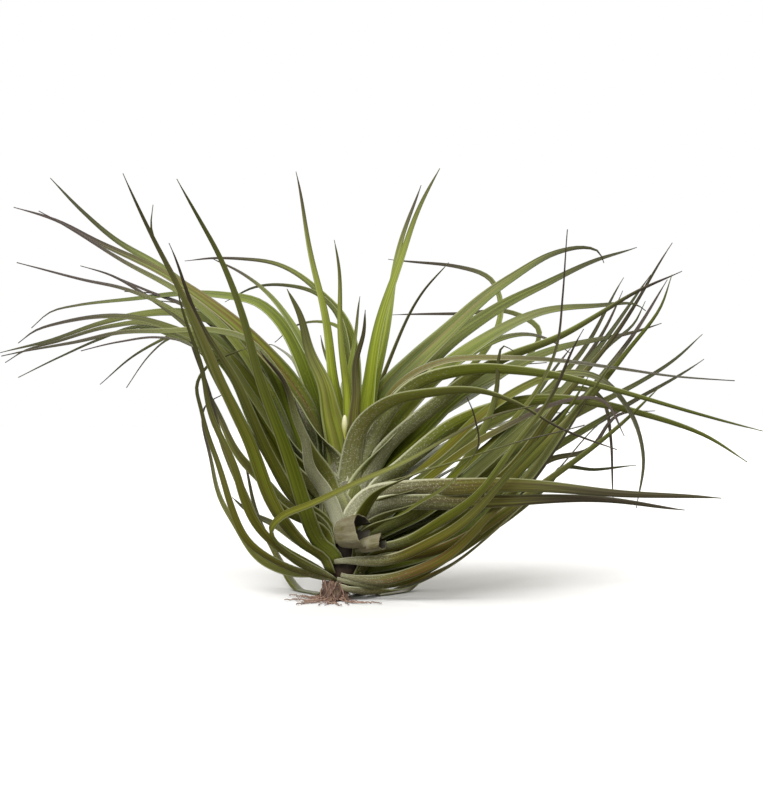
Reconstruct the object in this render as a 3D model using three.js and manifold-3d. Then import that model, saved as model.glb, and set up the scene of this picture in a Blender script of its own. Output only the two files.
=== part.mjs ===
// Air plant: a soft-leaved bromeliad with its woody stub and roots, picked and set on a surface.
// Millimetres, +Z up, -Y towards the viewer. The origin lies on the surface under the rosette.
import * as THREE from 'three';
import { mergeVertices } from 'three/addons/utils/BufferGeometryUtils.js';
import Module from 'manifold-3d';

const wasm = await Module();
wasm.setup();

// ---- Sizes ------------------------------------------------------------------------------------

// The leaf midlines are read on the plane y = 0 from a point this far in front of the plant, so a
// leaf that comes forward or goes back is drawn in towards that point or away from it.
const SIGHT = { x: 11, z: 60, distance: 480 };

// The bulb of tightly wrapped leaf sheaths round the stem: radius and height, set a little back.
const BULB = [[0, 5.6], [5.6, 5.6], [8.4, 10], [9.2, 19], [8.8, 30], [7, 39], [5, 45.5], [0, 45.5]];
const BULB_SET_BACK = 2;
const TURNED_SIDES = 12;

// Leaves start inside the bulb, this share of their first point's way out, between two levels.
const STEM_RADIUS = 4.5;
const ROOT_SHARE = { x: 0.2, y: 0.3 };
const ROOT_LEVELS = [9, 38];
const ROOT_DROP = 1.5;

// Blades: thickness at the midrib, width of the thread at the tip, how the width falls off, where
// the sheath has narrowed to the blade, the half angle of the channel at the tip and how it fades
// out to it, how fast a twist comes in, and how much the upper face looks up at the root.
const BLADE_THICKNESS = 0.95;
const TIP_WIDTH = 0.9;
const TIP_SHARE = 0.05;
const TAPER = 1.1;
const SHEATH_END = 0.25;
const TIP_CHANNEL = 14;
const CHANNEL_FADE = 1.5;
const TWIST_RATE = 2.2;
const UP_LEAN = 0.6;
const SEGMENT_LENGTH = 16;
const SEGMENTS = [5, 11];

// Clearance round a piece that sits in another, and the distance within which corners are one.
const FIT_GAP = 0.35;
const SCALE_GAP = 0.5;
const WELD = 1e-4;

// Each kind of leaf: how much wider its sheath is than its blade, and how deep its channel is.
const HEART = { sheath: 1, channel: 50, root: 42.5 };
const UPPER = { sheath: 2.5, channel: 62 };
const OUTER = { sheath: 1.2, channel: 62 };
const LOWER = { sheath: 0.5, channel: 55 };

// Leaf lines: blade width, how far the tip lies behind the stem, twist in degrees, and the
// midline from root to tip as x, z pairs.

// Young upright leaves in the heart.
const HEART_LEAVES = [
  [4.5, 6, 0, [0.5, 40.5, -2, 60, -5.5, 81, -9.5, 102.5, -13, 118.5, -15, 128.5]],
  [4.5, -4, 20, [-1, 42, -5, 59.5, -10, 74.5, -14, 85.5, -17, 93.5]],
  [3.5, -8, 0, [1, 42, 0.5, 60, -1, 82.5, -2, 97.5, -3.5, 108]],
  [3, 4, 0, [1.5, 43.5, 1.5, 63, 2.5, 78, 5, 91]],
  [4.5, -14, 0, [2.5, 42, 3, 60, 4, 73.5, 6.5, 87]],
  [6.5, -6, 0, [4, 40.5, 6.5, 60, 9.5, 76.5, 14, 94.5, 20, 111.5, 28.5, 129.5]],
  [5, 14, 0, [5, 40.5, 8.5, 63, 13, 87, 17, 106.5, 22.5, 124.5]],
  [3, 30, 0, [5, 43.5, 10, 63, 16.5, 79.5, 23.5, 92, 31, 101.5]],
  [3, 16, 0, [-0.5, 43.5, -2.5, 61.5, -7, 79.5]],
];

// Broad leaves that leave the stem high up and arch outwards.
const UPPER_LEAVES = [
  [4.5, 45, 20, [2, 42, 3.5, 66, 0, 84.5, -9, 94, -19.5, 100, -30, 102.5, -39, 103, -48, 101.5]],
  [4, 28, 20, [1.5, 40.5, 2, 63, -1, 84, -8, 91.5, -18, 94, -27, 93.5, -36, 89.5]],
  [3.5, 60, 20, [1.5, 40.5, 2.5, 63, -1, 80.5, -7.5, 83.5, -15, 82.5, -21, 77.5]],
  [5.5, 20, 20, [-1, 39, -6, 63, -12.5, 78, -19.5, 87.5, -27, 95, -33, 99.5, -40, 103]],
  [8, 12, 50, [-1.5, 25.5, -12.5, 46.5, -22.5, 69.5, -36, 84.5, -54, 98.5, -67.5, 107, -78, 116.5,
    -88.5, 126.5]],
  [7, -12, 50, [-1.5, 31.5, -10, 51, -19.5, 68.5, -33, 83.5, -52.5, 96.5, -73.5, 107.5, -85.5, 113.5,
    -99.5, 117.5]],
  [7, -22, 50, [-3, 24, -13.5, 43.5, -23, 63, -35, 79.5, -50, 92.5, -67.5, 102.5, -79.5, 109.5, -92,
    116.5]],
  [6, 30, 40, [-1.5, 39, -9, 60, -16.5, 79.5, -25.5, 88.5, -36, 91, -49.5, 92, -64.5, 90.5, -81, 88,
    -88.5, 86, -94, 81.5]],
  [8, 16, 60, [3, 36, 9, 55.5, 21, 72, 36, 85.5, 49.5, 96, 61.5, 104, 71, 106, 76, 104.5, 77.5, 101]],
  [7, 34, 50, [4, 33, 13.5, 55.5, 28.5, 74.5, 45, 87.5, 61.5, 95, 76, 102.5, 87.5, 106]],
  [8, -8, 60, [4, 31.5, 15, 52.5, 28.5, 68.5, 43.5, 79.5, 58.5, 86, 75, 88, 87, 89, 90.5, 87]],
  [6.5, 28, 40, [4, 33, 15, 54, 30, 69.5, 43.5, 77, 55.5, 79.5, 63, 77.5, 68, 74]],
  [7.5, -20, 60, [4.5, 27, 15, 43.5, 28.5, 58.5, 46.5, 71.5, 64.5, 79.5, 78, 86.5, 90, 93.5, 101, 99]],
  [6.5, 10, 50, [4.5, 28.5, 19.5, 48, 37.5, 63.5, 55.5, 72.5, 73.5, 77.5, 85.5, 80.5, 95, 83]],
  [7.5, -30, 40, [3, 33, 7.5, 51, 16, 64.5, 28.5, 71, 46.5, 72.5, 64.5, 72, 81, 69.5, 97.5, 67, 117, 66]],
  [7.5, -46, 40, [3.5, 30, 10, 50.5, 21, 64.5, 37.5, 69.5, 58.5, 68, 79.5, 63, 100.5, 57.5, 125.5, 51]],
  [8, -66, 40, [1.5, 36, 4.5, 50.5, 13, 59, 25.5, 62.5, 39, 63, 51, 59, 64.5, 51.5, 81.5, 45.5]],
];

// Leaves of the middle of the stem, out to the long threads on both sides.
const OUTER_LEAVES = [
  [7.5, -72, 20, [-4, 8.5, -13.5, 16.5, -22.5, 30, -30, 50.5, -39, 70.5, -47.5, 87.5, -54.5, 103, -60.5,
    116, -66.5, 128]],
  [7.5, -84, 20, [-2, 12, -8, 18, -13.5, 30, -19, 48, -25, 66.5, -30, 83.5, -37.5, 101.5, -43.5, 113.5,
    -50, 126.5]],
  [4, -58, 20, [-4.5, 10.5, -20, 28.5, -31.5, 52.5, -42, 75, -52, 97.5, -57.5, 110.5, -57, 118.5]],
  [4.5, -50, 20, [-4, 12, -16.5, 31.5, -27, 54, -37.5, 73.5, -47.5, 92.5, -53, 107]],
  [6, -30, 40, [-3.5, 19.5, -14.5, 39, -27, 60, -39, 76.5, -53, 87.5, -66, 93.5, -79.5, 96.5, -98.5, 101]],
  [5, 8, 40, [-3.5, 16.5, -13.5, 33, -25, 52.5, -37, 72, -49.5, 84.5, -61.5, 92.5, -70, 97, -79.5, 100]],
  [5, 24, 40, [-2.5, 22.5, -12, 40.5, -23, 61.5, -34, 76.5, -46.5, 87, -58.5, 92.5, -71.5, 98.5]],
  [6.5, -14, 50, [-3.5, 21, -14, 41.5, -25, 60.5, -37.5, 75.5, -51, 81, -64.5, 84.5, -75, 85, -85.5,
    83.5, -93, 81, -98, 77]],
  [7, 27, 50, [-2.5, 28.5, -13, 49.5, -24, 69, -37, 82.5, -49.5, 86.5, -61.5, 86, -73.5, 83, -88.5,
    77.5, -103.5, 74]],
  [6, 4, 50, [-3.5, 15, -15, 33, -26, 51, -35, 68.5, -46.5, 79, -58.5, 83.5, -70.5, 82, -85.5, 77.5,
    -96, 75, -102, 71.5]],
  [6.5, -48, 50, [-3.5, 24, -10.5, 45, -18, 64.5, -28.5, 77.5, -39, 80.5, -52.5, 80.5, -67.5, 80.5,
    -82.5, 77, -103, 73]],
  [5, 32, 40, [-3.5, 16.5, -14, 34.5, -25, 55.5, -36, 70.5, -49.5, 78, -61.5, 82, -73.5, 78.5, -85.5,
    73, -98, 66.5]],
  [5, -42, 40, [-3.5, 13.5, -16, 30, -27, 48, -36, 64.5, -46.5, 76.5, -57, 79, -67.5, 77.5, -79, 74.5]],
  [4.5, 46, 40, [-3.5, 18, -13.5, 39, -25, 61.5, -36, 76.5, -46.5, 81, -55.5, 77.5, -64.5, 72.5, -73.5,
    65]],
  [4.5, 62, 40, [-3.5, 19.5, -13.5, 40.5, -24, 61.5, -34, 76.5, -43.5, 81.5, -53, 78.5, -58.5, 73.5,
    -65.5, 63.5]],
  [4, -72, 20, [2, 23.5, 9, 31, 19.5, 37, 34.5, 42, 52.5, 47.5, 72, 52.5]],
  [7, -34, 50, [4.5, 24, 16.5, 42, 33, 53.5, 52.5, 59, 70.5, 59.5, 88.5, 56.5, 106.5, 50, 120.5, 41]],
  [5.5, 24, 40, [5, 16.5, 25.5, 28.5, 46.5, 41.5, 64.5, 52.5, 82.5, 62.5, 99, 72.5, 107.5, 79.5]],
  [5.5, 32, 40, [5, 15, 25.5, 25.5, 49.5, 37.5, 67.5, 49, 85.5, 58.5, 107.5, 72.5]],
  [6, -6, 40, [5, 10.5, 25.5, 21, 46.5, 36.5, 64.5, 58.5, 78, 76, 88.5, 91, 98.5, 107]],
  [5.5, 14, 40, [5, 4.5, 28.5, 15, 49.5, 31.5, 67.5, 54, 82.5, 74.5, 97, 96]],
  [6, -26, 40, [4.5, 7.5, 28.5, 19.5, 49.5, 36, 69, 55.5, 84, 74.5, 94.5, 87.5, 98.5, 97.5]],
  [5.5, 34, 40, [5, 12, 25.5, 24, 46.5, 41.5, 63, 58.5, 78, 75, 87, 82.5, 90.5, 89.5]],
  [5, 10, 40, [5, 13.5, 25.5, 27, 46.5, 45, 64.5, 62.5, 79.5, 79.5, 92, 97.5]],
  [4.5, 52, 40, [5, 15, 24, 27, 43.5, 43.5, 60, 61.5, 73, 78, 84, 96.5]],
  [4.5, 66, 40, [5, 15, 25.5, 30, 48, 46.5, 64.5, 61.5, 76.5, 78.5, 83, 93]],
  [4.5, -58, 20, [5, 16.5, 22.5, 30, 40.5, 43.5, 55.5, 60, 63, 75, 65.5, 91.5, 67, 111]],
  [5, 58, 10, [4, 36, 16.5, 51, 33, 64.5, 43.5, 76.5, 46.5, 87, 43.5, 96, 33, 100.5, 13, 102]],
  [4.5, 70, 10, [4, 34.5, 22.5, 51, 43.5, 64.5, 57, 75, 58.5, 81.5, 49.5, 86.5, 34.5, 85.5, 14, 85.5]],
  [5.5, -76, 10, [5, 18, 22.5, 27, 35, 39, 41.5, 51, 45, 63, 46, 72, 47.5, 76, 50.5, 74.5]],
  [3, -64, 10, [5, 19.5, 19.5, 27, 33, 36.5, 40, 46.5, 39, 55.5, 36.5, 60.5]],
  [5, -38, 10, [5, 22.5, 22.5, 39, 43.5, 57, 64.5, 68, 76.5, 67, 85, 57.5, 89, 43.5, 87.5, 27.5]],
  [4.5, 22, 10, [5, 22.5, 22.5, 36, 43.5, 52.5, 64.5, 63, 76, 61, 80, 48, 80.5, 29]],
  [4.5, -50, 10, [5, 21, 22.5, 34.5, 43.5, 49.5, 64.5, 59.5, 77, 59.5, 83.5, 49]],
  [7.5, -64, 40, [1.5, 21, 8, 28.5, 21, 33, 40.5, 34, 64.5, 33.5, 88.5, 32, 113, 30]],
  [6.5, -52, 40, [1.5, 19.5, 10, 26, 24, 29, 43.5, 30, 64.5, 30, 82.5, 29.5, 102, 27.5]],
  [6.5, -20, 40, [3, 21, 16.5, 26.5, 31.5, 36, 48, 50.5, 60, 64.5, 68, 76.5]],
  [6, 56, 40, [3, 16.5, 18, 22, 33, 30, 49.5, 42, 64.5, 55.5, 76.5, 64.5]],
  [3.5, -50, 20, [-3, 30, -12, 45, -18, 58.5, -22, 69.5, -25, 75]],
];

// Old leaves that hang from the foot of the stem and curl up round the rosette.
const LOWER_LEAVES = [
  [3.5, 40, 0, [-6, 7, -18, 8.5, -28, 15, -35, 26, -39.5, 39, -42.5, 51.5, -41.5, 58, -35, 62.5]],
  [4.5, -30, 0, [-6, 6.5, -18, 10.5, -28, 17.5, -34.5, 28.5, -39, 43.5, -42.5, 56.5, -44.5, 64.5, -42,
    70, -36, 73.5, -28.5, 75.5]],
  [5.5, -46, 0, [-5, 7, -14, 11, -23, 18.5, -30, 30, -35, 43.5, -40, 57, -43, 68.5, -46.5, 79.5, -50,
    94.5]],
  [4.5, 20, 0, [-6, 9, -16, 13.5, -25, 21, -31.5, 33.5, -36.5, 48, -41, 61.5, -45, 75, -48.5, 88.5]],
  [5.5, 50, 0, [-6, 16.5, -16.5, 27.5, -27, 38, -34.5, 48.5, -40, 59.5, -43.5, 72, -47, 82.5]],
  [5, 10, 0, [-4, 11.5, -13.5, 17.5, -23, 23.5, -29.5, 27.5, -34, 30.5]],
  [5, -62, 0, [-3.5, 7, -13.5, 11.5, -20.5, 17, -22.5, 21.5, -18.5, 26, -10.5, 29, 1.5, 34, 16.5, 41,
    30, 48.5, 43.5, 54.5, 58.5, 58.5]],
  [5, -30, 10, [4.5, 6, 25.5, 12, 46.5, 24, 64.5, 37, 80, 50.5, 95, 64]],
  [4, 40, 10, [4, 3.5, 25.5, 9.5, 46.5, 22.5, 61, 35.5, 65, 40, 75, 39, 87.5, 40]],
  [6.5, -12, 20, [2, 0.5, 16.5, 1, 31.5, 8.5, 48, 22, 63, 37, 76.5, 52.5, 88.5, 60.5]],
  [6, 20, 20, [1.5, 2.5, 15, 6.5, 30, 15, 48, 31, 61.5, 42, 73.5, 45.5, 82, 55, 93, 57]],
  [6.5, -44, 20, [1, 3.5, 13.5, 5.5, 28.5, 12.5, 46.5, 27.5, 61.5, 46, 73.5, 61.5, 80, 72]],
  [6.5, 46, 20, [1.5, 7.5, 13.5, 11.5, 28.5, 21, 46.5, 39, 61.5, 58.5, 70.5, 67.5, 76.5, 76.5]],
  [6, -58, 20, [0.5, 11.5, 3.5, 10, 13.5, 11, 28.5, 18, 46.5, 34.5, 61.5, 51, 73.5, 67.5]],
  [6, -70, 20, [1.5, 13, 7.5, 14, 19.5, 16.5, 34.5, 27, 49.5, 43.5, 61.5, 61.5, 72, 81]],
  [6, 8, 20, [2, 1.5, 16.5, 5, 34.5, 14.5, 52.5, 31.5, 66, 49.5, 74, 61.5]],
];


// ---- Leaf form --------------------------------------------------------------------------------

// A point of a midline, moved along the sight line to its depth.
function atDepth(x, z, y) {
  const nearer = (SIGHT.distance + y) / SIGHT.distance;
  return new THREE.Vector3(SIGHT.x + (x - SIGHT.x) * nearer, y, SIGHT.z + (z - SIGHT.z) * nearer);
}

// The midline of a leaf line: it starts inside the stem and turns to its depth as it runs out.
function tracedSpine([, tipDepth, , pairs], rootHeight) {
  const points = [];
  for (let i = 0; i < pairs.length; i += 2) {
    points.push(new THREE.Vector2(pairs[i], pairs[i + 1]));
  }
  const run = [0];
  for (let i = 1; i < points.length; i += 1) {
    run.push(run[i - 1] + points[i].distanceTo(points[i - 1]));
  }
  const length = run[run.length - 1];
  const side = (STEM_RADIUS * tipDepth) / Math.hypot(tipDepth, length);
  const spine = points.map((p, i) => {
    const share = run[i] / length;
    return atDepth(p.x, p.y, side * (1 - share) + tipDepth * share);
  });
  const level = rootHeight ?? THREE.MathUtils.clamp(points[0].y - ROOT_DROP, ...ROOT_LEVELS);
  return [new THREE.Vector3(points[0].x * ROOT_SHARE.x, side * ROOT_SHARE.y, level), ...spine];
}

// Stations along a spine, each with its place, its upward direction and its sideways direction.
function stations(spine, twist) {
  const curve = new THREE.CatmullRomCurve3(spine, false, 'centripetal');
  const count = THREE.MathUtils.clamp(Math.round(curve.getLength() / SEGMENT_LENGTH), ...SEGMENTS);
  const line = curve.getSpacedPoints(count);
  const tangents = line.map((_, i) =>
    line[Math.min(i + 1, count)].clone().sub(line[Math.max(i - 1, 0)]).normalize(),
  );
  const third = line[Math.floor(count / 3)];
  const outward = new THREE.Vector3(third.x, third.y, 0).normalize();
  const up = new THREE.Vector3(0, 0, UP_LEAN).sub(outward);
  up.addScaledVector(tangents[0], -up.dot(tangents[0])).normalize();
  const turn = new THREE.Quaternion();
  return line.map((place, i) => {
    if (i > 0) {
      turn.setFromUnitVectors(tangents[i - 1], tangents[i]);
      up.applyQuaternion(turn);
      up.addScaledVector(tangents[i], -up.dot(tangents[i])).normalize();
    }
    const share = i / count;
    const angle = THREE.MathUtils.degToRad(twist) * Math.min(1, share * TWIST_RATE);
    const normal = up.clone().applyAxisAngle(tangents[i], angle);
    return { place, share, normal, side: tangents[i].clone().cross(normal) };
  });
}

function halfWidth(width, sheath, share) {
  const blade = width * (TIP_SHARE + (1 - TIP_SHARE) * (1 - share) ** TAPER);
  const flare = sheath * Math.max(0, 1 - share / SHEATH_END) ** 2;
  return Math.max(TIP_WIDTH, blade + flare) / 2;
}

function channelAngle(channel, share) {
  return THREE.MathUtils.degToRad(TIP_CHANNEL + channel * (1 - share) ** CHANNEL_FADE);
}

// A channelled blade: four points round each station, joined in rings from root to tip. A blade
// with a gap round it is the hollow that the blade fits.
function bladeGeometry(width, kind, twist, spine, gap = 0) {
  const rings = stations(spine, twist).map(({ place, share, normal, side }) => {
    const half = halfWidth(width, kind.sheath, share);
    const slope = Math.tan(channelAngle(kind.channel, share) / 2);
    const reach = half + gap * 2;
    const thick = BLADE_THICKNESS / 2 + gap;
    const at = (across, above) =>
      place.clone().addScaledVector(side, across).addScaledVector(normal, above);
    return [at(-reach, reach * slope), at(0, thick), at(reach, reach * slope), at(0, -thick)];
  });
  if (gap > 0) {
    rings.unshift(pushedOn(rings[1], rings[0], gap));
    rings.push(pushedOn(rings[rings.length - 2], rings[rings.length - 1], gap));
  }
  return ringsGeometry(rings);
}

// A copy of the ring `to`, moved on by a distance in the direction that leads there from `from`.
function pushedOn(from, to, distance) {
  const step = to[1].clone().add(to[3]).sub(from[1]).sub(from[3]).setLength(distance);
  return to.map((point) => point.clone().add(step));
}

// A closed skin over rings of points, with flat ends. Both faces are split along like diagonals.
function ringsGeometry(rings) {
  const around = rings[0].length;
  const index = [];
  for (let i = 0; i + 1 < rings.length; i += 1) {
    for (let j = 0; j < around; j += 1) {
      const a = i * around + j;
      const b = i * around + ((j + 1) % around);
      const front = [a, b, b + around, a, b + around, a + around];
      const back = [a, b, a + around, b, b + around, a + around];
      index.push(...(j < around / 2 ? front : back));
    }
  }
  const last = (rings.length - 1) * around;
  for (let j = 1; j + 1 < around; j += 1) {
    index.push(0, j + 1, j, last, last + j, last + j + 1);
  }
  const geometry = new THREE.BufferGeometry().setFromPoints(rings.flat());
  geometry.setIndex(index);
  return geometry;
}

// ---- Leaves placed by rule --------------------------------------------------------------------

// Repeatable draws between 0 and 1.
function drawsFrom(seed) {
  let state = seed;
  return () => {
    state = (state * 16807) % 2147483647;
    return state / 2147483647;
  };
}

// Leaves at the back of the rosette, spread by the golden section over the half turn behind it:
// their directions in degrees from +X, root levels, reach, widths and the levels of their tips.
const BACK = {
  count: 18,
  seed: 77,
  direction: [22, 158],
  root: [10, 36],
  reach: [66, 92],
  width: [5.5, 7],
  twist: [-15, 15],
  leftTip: [54, 68],
  leftTipRise: 34,
  rightTip: [44, 78],
};
const BACK_SHARES = [0.08, 0.25, 0.45, 0.65, 0.85, 1];
const BACK_ARCH = 1.2;
const BACK_START = 2;
const GOLDEN_SECTION = 0.618034;

function between([low, high], share) {
  return low + (high - low) * share;
}

function backLeaf(i, draw) {
  const direction = between(BACK.direction, (i * GOLDEN_SECTION) % 1);
  const azimuth = THREE.MathUtils.degToRad(direction);
  const aside = Math.cos(azimuth);
  const level = i / (BACK.count - 1);
  const root = between(BACK.root, level);
  const reach = between(BACK.reach, draw());
  const leftTip = between(BACK.leftTip, level) - BACK.leftTipRise * aside;
  const tip = aside < 0 ? leftTip : between(BACK.rightTip, level);
  const spine = BACK_SHARES.map((share) => {
    const away = BACK_START + reach * share ** BACK_ARCH;
    const height = root + BACK_START + (tip - root) * Math.sin((share * Math.PI) / 2);
    return new THREE.Vector3(away * aside, away * Math.sin(azimuth), height);
  });
  return {
    width: between(BACK.width, draw()),
    twist: between(BACK.twist, draw()),
    spine: [new THREE.Vector3(0, 0, root), ...spine],
  };
}

// Low leaves behind the foot: they dip to the surface before they curl up, so the plant rests on
// them and on its stub. Directions in degrees from +X.
const REST_DIRECTIONS = [48, 72, 96, 122];
const REST_ARC = [
  [1, 10], [7, 5], [13, 1], [20, -0.4], [30, 1.5], [44, 10], [60, 28], [68, 42],
];
const REST_WIDTH = 5;

function restLeaf(direction) {
  const azimuth = THREE.MathUtils.degToRad(direction);
  const spine = REST_ARC.map(
    ([away, height]) =>
      new THREE.Vector3(away * Math.cos(azimuth), away * Math.sin(azimuth), height),
  );
  return { width: REST_WIDTH, twist: 0, spine };
}

// ---- Joining and cutting ----------------------------------------------------------------------

function solidOf(geometry) {
  geometry.deleteAttribute('normal');
  geometry.deleteAttribute('uv');
  const merged = mergeVertices(geometry, WELD);
  const vertProperties = new Float32Array(merged.getAttribute('position').array);
  const triVerts = new Uint32Array(merged.getIndex().array);
  return new wasm.Manifold(new wasm.Mesh({ numProp: 3, vertProperties, triVerts }));
}

function fuse(solids) {
  return solids.reduce((whole, solid) => whole.add(solid));
}

// The largest body of a solid: loose scraps and the skins of sealed hollows are dropped.
function mainBody(solid) {
  return solid.decompose().reduce((most, body) => (body.volume() > most.volume() ? body : most));
}

function meshOf(name, solid, material) {
  const { vertProperties, triVerts } = solid.getMesh();
  const geometry = new THREE.BufferGeometry();
  geometry.setAttribute('position', new THREE.BufferAttribute(new Float32Array(vertProperties), 3));
  geometry.setIndex([...triVerts]);
  geometry.computeVertexNormals();
  const mesh = new THREE.Mesh(geometry, material);
  mesh.name = name;
  return mesh;
}

// ---- Pieces -----------------------------------------------------------------------------------

function turned(profile, sides) {
  const points = profile.map(([radius, height]) => new THREE.Vector2(radius, height));
  return solidOf(new THREE.LatheGeometry(points, sides).rotateX(Math.PI / 2));
}

function tracedLeaves(lines, kind, gap = 0) {
  return lines.map((line) =>
    solidOf(bladeGeometry(line[0], kind, line[2], tracedSpine(line, kind.root), gap)),
  );
}

function placedLeaf({ width, twist, spine }, kind) {
  return solidOf(bladeGeometry(width, kind, twist, spine));
}

function bulb() {
  return turned(BULB, TURNED_SIDES).translate([0, BULB_SET_BACK, 0]);
}

function greenLeaves() {
  const draw = drawsFrom(BACK.seed);
  const back = Array.from({ length: BACK.count }, (_, i) => placedLeaf(backLeaf(i, draw), OUTER));
  const resting = REST_DIRECTIONS.map((direction) => placedLeaf(restLeaf(direction), LOWER));
  return fuse([
    bulb(),
    ...tracedLeaves(UPPER_LEAVES, UPPER),
    ...tracedLeaves(OUTER_LEAVES, OUTER),
    ...tracedLeaves(LOWER_LEAVES, LOWER),
    ...back,
    ...resting,
  ]);
}

// The heart stands on a plug in a round socket in the top of the bulb.
const PLUG = { radius: 3, bottom: 40.5, shoulder: 48, top: 50, y: 0.5 };

function heart(gap = 0) {
  const radius = PLUG.radius + gap;
  const plug = turned([
    [0, PLUG.bottom - gap], [radius, PLUG.bottom - gap], [radius, PLUG.shoulder], [0, PLUG.top],
  ], TURNED_SIDES).translate([0, PLUG.y, 0]);
  return fuse([plug, ...tracedLeaves(HEART_LEAVES, HEART, gap)]);
}

// Two papery scales, the torn-off bases of old leaves, stand in the open front of the foot.
const SCALES = [
  {
    name: 'left_dry_scale',
    width: 8.5,
    spine: [[-0.5, -4, 16.5], [0.5, -7, 19.5], [1.5, -8.5, 25.5]],
  },
  {
    name: 'right_dry_scale',
    width: 5.5,
    spine: [[4, -4, 14.5], [7.5, -8.5, 16], [11, -11, 19]],
  },
];
const SCALE_KIND = { sheath: 0, channel: 62 };

function dryScale({ width, spine }, gap = 0) {
  const points = spine.map((point) => new THREE.Vector3(...point));
  return solidOf(bladeGeometry(width, SCALE_KIND, 0, points, gap));
}

// The woody stub and its wiry roots, which lie along the surface.
const STUB = {
  x: -3,
  y: -0.5,
  radius: 4.4,
  topRadius: 3.6,
  shoulder: 2.5,
  height: BULB[0][1] - FIT_GAP,
};
const ROOT_RADIUS = 0.4;
const ROOT_LEVEL = 0.35;
const ROOT_START_LEVEL = 1.05;
const ROOT_MESH = { steps: 8, curveSegments: 3 };
const ROOTS = [
  [[-3, -3], [-4.5, -8], [-2.5, -12], [-1, -16]],
  [[-1, -3], [2, -8], [6, -10], [9, -9], [11, -12]],
  [[-5, -2], [-10, -4], [-13, -2], [-18, -3]],
  [[-5, 1], [-9, 3], [-13, 5], [-17, 9]],
  [[-4, -3], [-8, -8], [-12, -10], [-14, -14]],
];

function rootTube(places) {
  const route = new THREE.CatmullRomCurve3(
    places.map(([x, y], i) => new THREE.Vector3(x, y, i === 0 ? ROOT_START_LEVEL : ROOT_LEVEL)),
  );
  const section = new THREE.Shape();
  section.absarc(0, 0, ROOT_RADIUS, 0, 2 * Math.PI);
  const options = { ...ROOT_MESH, bevelEnabled: false, extrudePath: route };
  return solidOf(new THREE.ExtrudeGeometry(section, options));
}

function rootedStub() {
  const stub = turned([
    [0, 0], [STUB.radius, 0], [STUB.radius, STUB.shoulder], [STUB.topRadius, STUB.height],
    [0, STUB.height],
  ], TURNED_SIDES).translate([STUB.x, STUB.y, 0]);
  return fuse([stub, ...ROOTS.map(rootTube)]);
}

// ---- Assembly ---------------------------------------------------------------------------------

const GROUND = { side: 600, depth: 40 };
const belowSurface = solidOf(new THREE.BoxGeometry(GROUND.side, GROUND.side, GROUND.depth))
  .translate([0, 0, -GROUND.depth / 2]);
const lowLeavesWithGap = fuse(tracedLeaves(LOWER_LEAVES, LOWER, FIT_GAP));
const rosette = SCALES.reduce(
  (whole, scale) => whole.subtract(dryScale(scale, SCALE_GAP)),
  greenLeaves().subtract(heart(FIT_GAP)).subtract(belowSurface),
);

const colour = (hex) => new THREE.MeshStandardMaterial({ color: hex, roughness: 0.6 });
const group = new THREE.Group();
group.add(meshOf('leafy_rosette', mainBody(rosette), colour(0x6f7a42)));
group.add(meshOf('heart_leaves', mainBody(heart()), colour(0x9aa83c)));
for (const scale of SCALES) {
  group.add(meshOf(scale.name, mainBody(dryScale(scale)), colour(0x8c8470)));
}
group.add(
  meshOf('rooted_stub', mainBody(rootedStub().subtract(lowLeavesWithGap).subtract(belowSurface)),
    colour(0x9c7a60)),
);

export default group;
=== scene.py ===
# Air plant: a soft-leaved bromeliad with papery scales, a woody stub and wiry roots, standing.
import math
import random
from collections import namedtuple

import bmesh
import bpy
from bpy.props import FloatProperty, FloatVectorProperty, IntProperty, PointerProperty
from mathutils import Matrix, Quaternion, Vector


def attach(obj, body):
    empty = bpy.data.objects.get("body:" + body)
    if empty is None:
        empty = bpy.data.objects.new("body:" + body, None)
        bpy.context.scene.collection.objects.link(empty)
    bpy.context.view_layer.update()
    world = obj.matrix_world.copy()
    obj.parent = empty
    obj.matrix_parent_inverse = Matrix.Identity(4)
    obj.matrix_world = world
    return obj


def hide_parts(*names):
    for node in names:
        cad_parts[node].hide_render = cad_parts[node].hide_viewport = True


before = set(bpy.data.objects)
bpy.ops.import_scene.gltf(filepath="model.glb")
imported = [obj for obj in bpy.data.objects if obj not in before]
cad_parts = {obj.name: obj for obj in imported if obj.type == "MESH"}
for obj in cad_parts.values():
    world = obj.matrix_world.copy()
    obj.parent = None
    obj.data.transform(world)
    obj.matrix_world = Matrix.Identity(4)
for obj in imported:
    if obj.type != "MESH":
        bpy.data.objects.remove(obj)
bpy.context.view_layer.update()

bl_info = {
    "name": "Air plant",
    "version": (1, 0, 0),
    "blender": (4, 5, 0),
    "location": "3D View > Sidebar > Air plant",
    "description": "Grows a soft-leaved air plant leaf by leaf, with its scales, stub and roots",
    "category": "Object",
}

# ---- Sizes in millimetres, as the plant was measured -----------------------------------------

MM = 0.001

# A stretch of a line counts as at least this long, and corners of a turned solid closer than this,
# in metres, are one.
SHORTEST = 1e-9
POLE_GAP = 1e-6

# The leaf midlines are read on the plane y = 0 from a point this far in front of the plant, so a
# leaf that comes forward or goes back is drawn in towards that point or away from it.
SIGHT_X, SIGHT_Z, SIGHT_DISTANCE = 11, 60, 480

# The bulb of wrapped leaf sheaths, as radius and height, set a little back, and the stem's radius.
# The bulb's core fills a share of its radius and stops short of its top.
BULB = [(5.6, 5.6), (8.4, 10), (9.2, 19), (8.8, 30), (7, 39), (5, 45.5)]
BULB_SET_BACK = 2
STEM_RADIUS = 4.5
CORE_SHARE = 0.66
CORE_SHORT = 2
CORE_SIDES = 32

# How a blade narrows: the width of its thread beside the blade's, how late the thread comes to a
# point, how wide that point is, and over what length the leaf widens from its root.
THREAD_SHARE = 0.10
THREAD_POINT = 20
POINT_WIDTH = 0.2
ROOT_RUN = 14

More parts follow.
